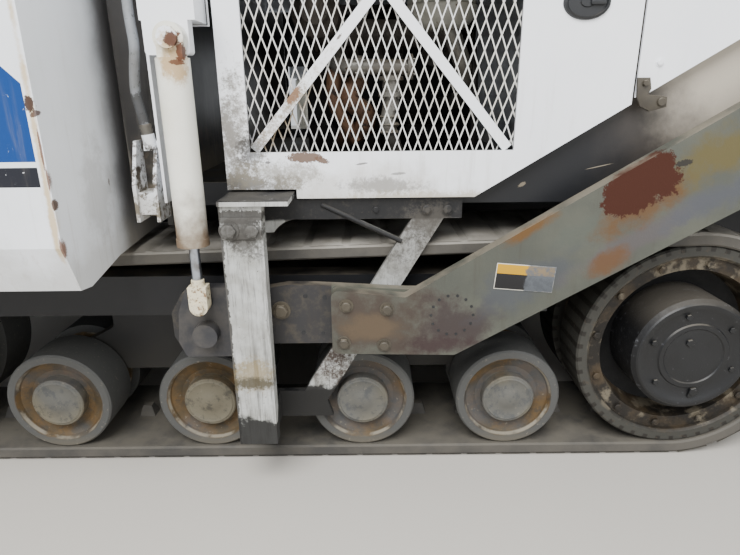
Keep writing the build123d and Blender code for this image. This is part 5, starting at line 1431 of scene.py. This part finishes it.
def makeTread():
    look = deckLook
    pitch = look["pitch"]
    places = []
    for i in range(int((look["front"] - look["rear"]) / pitch)):
        for j in range(int(2 * look["half"] / pitch)):
            spot = (look["rear"] + (i + 0.5) * pitch, -look["half"] + (j + 0.5) * pitch, look["top"])
            places.append((spot, (0, 0, math.radians(45 if (i + j) % 2 else -45)), 1))
    scatter("deckTreadBars", places, taperedBlock, look["bar"], "tread", "frame_paint")


def makeConsole(side, y):
    look = consoleLook
    turn = math.radians(look["slope"])
    slope = Matrix.Translation((look["x"], y, look["z"])) @ Matrix.Rotation(turn, 4, "Y")
    up = slope.to_3x3() @ Vector((0, 0, 1))
    shape = bmesh.new()
    addBox(shape, (-0.115, -0.235, -0.006), (0.095, 0.235, 0.004), 0.003, slope)
    addBox(shape, (0.10, -0.13, -0.006), (0.125, 0.13, 0.03), 0.004, slope)
    finishShape("consolePanel_" + side, shape, "black", "console_plastic")
    rows = [(slope @ Vector((a, b, 0.003)), (0, turn, 0), 1) for b in look["rows"] for a in look["columns"]]
    scatter("consoleButtons_" + side, rows, plainDisc, look["button"], "console", "console_plastic")
    shape = bmesh.new()
    addTurned(shape, look["stopProfile"], slope @ Vector(look["stop"]), up, 28)
    finishShape("stopButton_" + side, shape, "redButton", "console_plastic")
    shape = bmesh.new()
    for k, across in enumerate(look["levers"]):
        root = slope @ Vector((-0.06, across, 0))
        tip = root + Vector((-0.02 + 0.008 * k, 0, 0.075))
        addRod(shape, root, tip, 0.005, 12)
        addTurned(shape, look["knobProfile"], tip, tip - root, 20)
        addTurned(shape, look["bootProfile"], root, up, 20)
    finishShape("consoleLevers_" + side, shape, "black", "console_plastic")


def makeSteeringWheel():
    look = steeringLook
    tilt = Matrix.Translation(look["hub"]) @ Matrix.Rotation(math.radians(look["slope"]), 4, "Y")
    shape = bmesh.new()
    rim = [tilt @ Vector((*spot, 0)) for spot in circle((0, 0), look["rim"], turns(24))]
    for first, second in zip(rim, rim[1:] + rim[:1]):
        addRod(shape, first, second, 0.012, 12, 0.0001)
    for spot in circle((0, 0), 0.11, map(math.radians, (90, 210, 330))):
        addRod(shape, tilt @ Vector((0, 0, -0.012)), tilt @ Vector((*spot, 0)), 0.007, 10)
    addTurned(shape, look["hubProfile"], look["hub"], tilt.to_3x3() @ Vector((0, 0, 1)), 28)
    addRod(shape, tilt @ Vector((0, 0, -0.02)), look["column"], 0.016)
    finishShape("steeringWheel", shape, "black", "console_plastic")


def makeLenses():
    shape = bmesh.new()
    for x, direction in ((0.3405, 1), (-2.2405, -1)):
        near, far = sorted((x - direction * 0.006, x - direction * 0.0008))
        for y in (0.9, -0.9):
            addBox(shape, (near, y - 0.075, 3.25), (far, y + 0.075, 3.32), 0.002)
    finishShape("lampLenses", shape, "lens", "lamp_housing")


makeTread()
for (side, sign), y in zip(sides, seatLook["sides"]):
    makeConsole(side, y)
makeSteeringWheel()
makeLenses()
print("platform made")


# Auger flights: one screw surface each side, wound the other way on the right

augerShape = {
    "x": -2.25, "z": 0.47, "radius": 0.178, "shaft": 0.045, "inner": 0.08, "outer": 1.30, "turns": 5,
    "thick": 0.014, "steps": 36, "wear": 0.003, "wearTurns": 3.7,
}


def makeAugers():
    look = augerShape
    shaft, count = look["shaft"], look["turns"] * look["steps"]
    profile = [(0, 0), (0, shaft - 0.004), (0.004, shaft), (1.216, shaft), (1.22, shaft - 0.004), (1.22, 0)]
    start, reach = look["inner"] + 0.03, look["outer"] - look["inner"] - 0.06
    for side, sign in sides:
        shape = bmesh.new()
        addTurned(shape, profile, (look["x"], sign * look["inner"], look["z"]), (0, sign, 0), 32)
        rings = []
        for k in range(count + 1):
            angle = 2 * math.pi * k / look["steps"]
            worn = look["radius"] - look["wear"] * (1 + math.sin(angle * look["wearTurns"]))
            ring = []
            for radius, half in ((shaft - 0.006, 0.5), (worn, 0.32), (worn, -0.32), (shaft - 0.006, -0.5)):
                y = start + reach * k / count + half * look["thick"]
                ring.append(shape.verts.new((look["x"] + radius * math.cos(angle), sign * y,
                                             look["z"] + sign * radius * math.sin(angle))))
            rings.append(ring)
        addSkin(shape, rings)
        shape.faces.new(rings[0])
        shape.faces.new(rings[-1][::-1])
        finishShape("augerFlight_" + side, shape, "asphalt", "bare_steel", "auger_" + side, ["auger_" + side])
    print("augers made")


makeAugers()
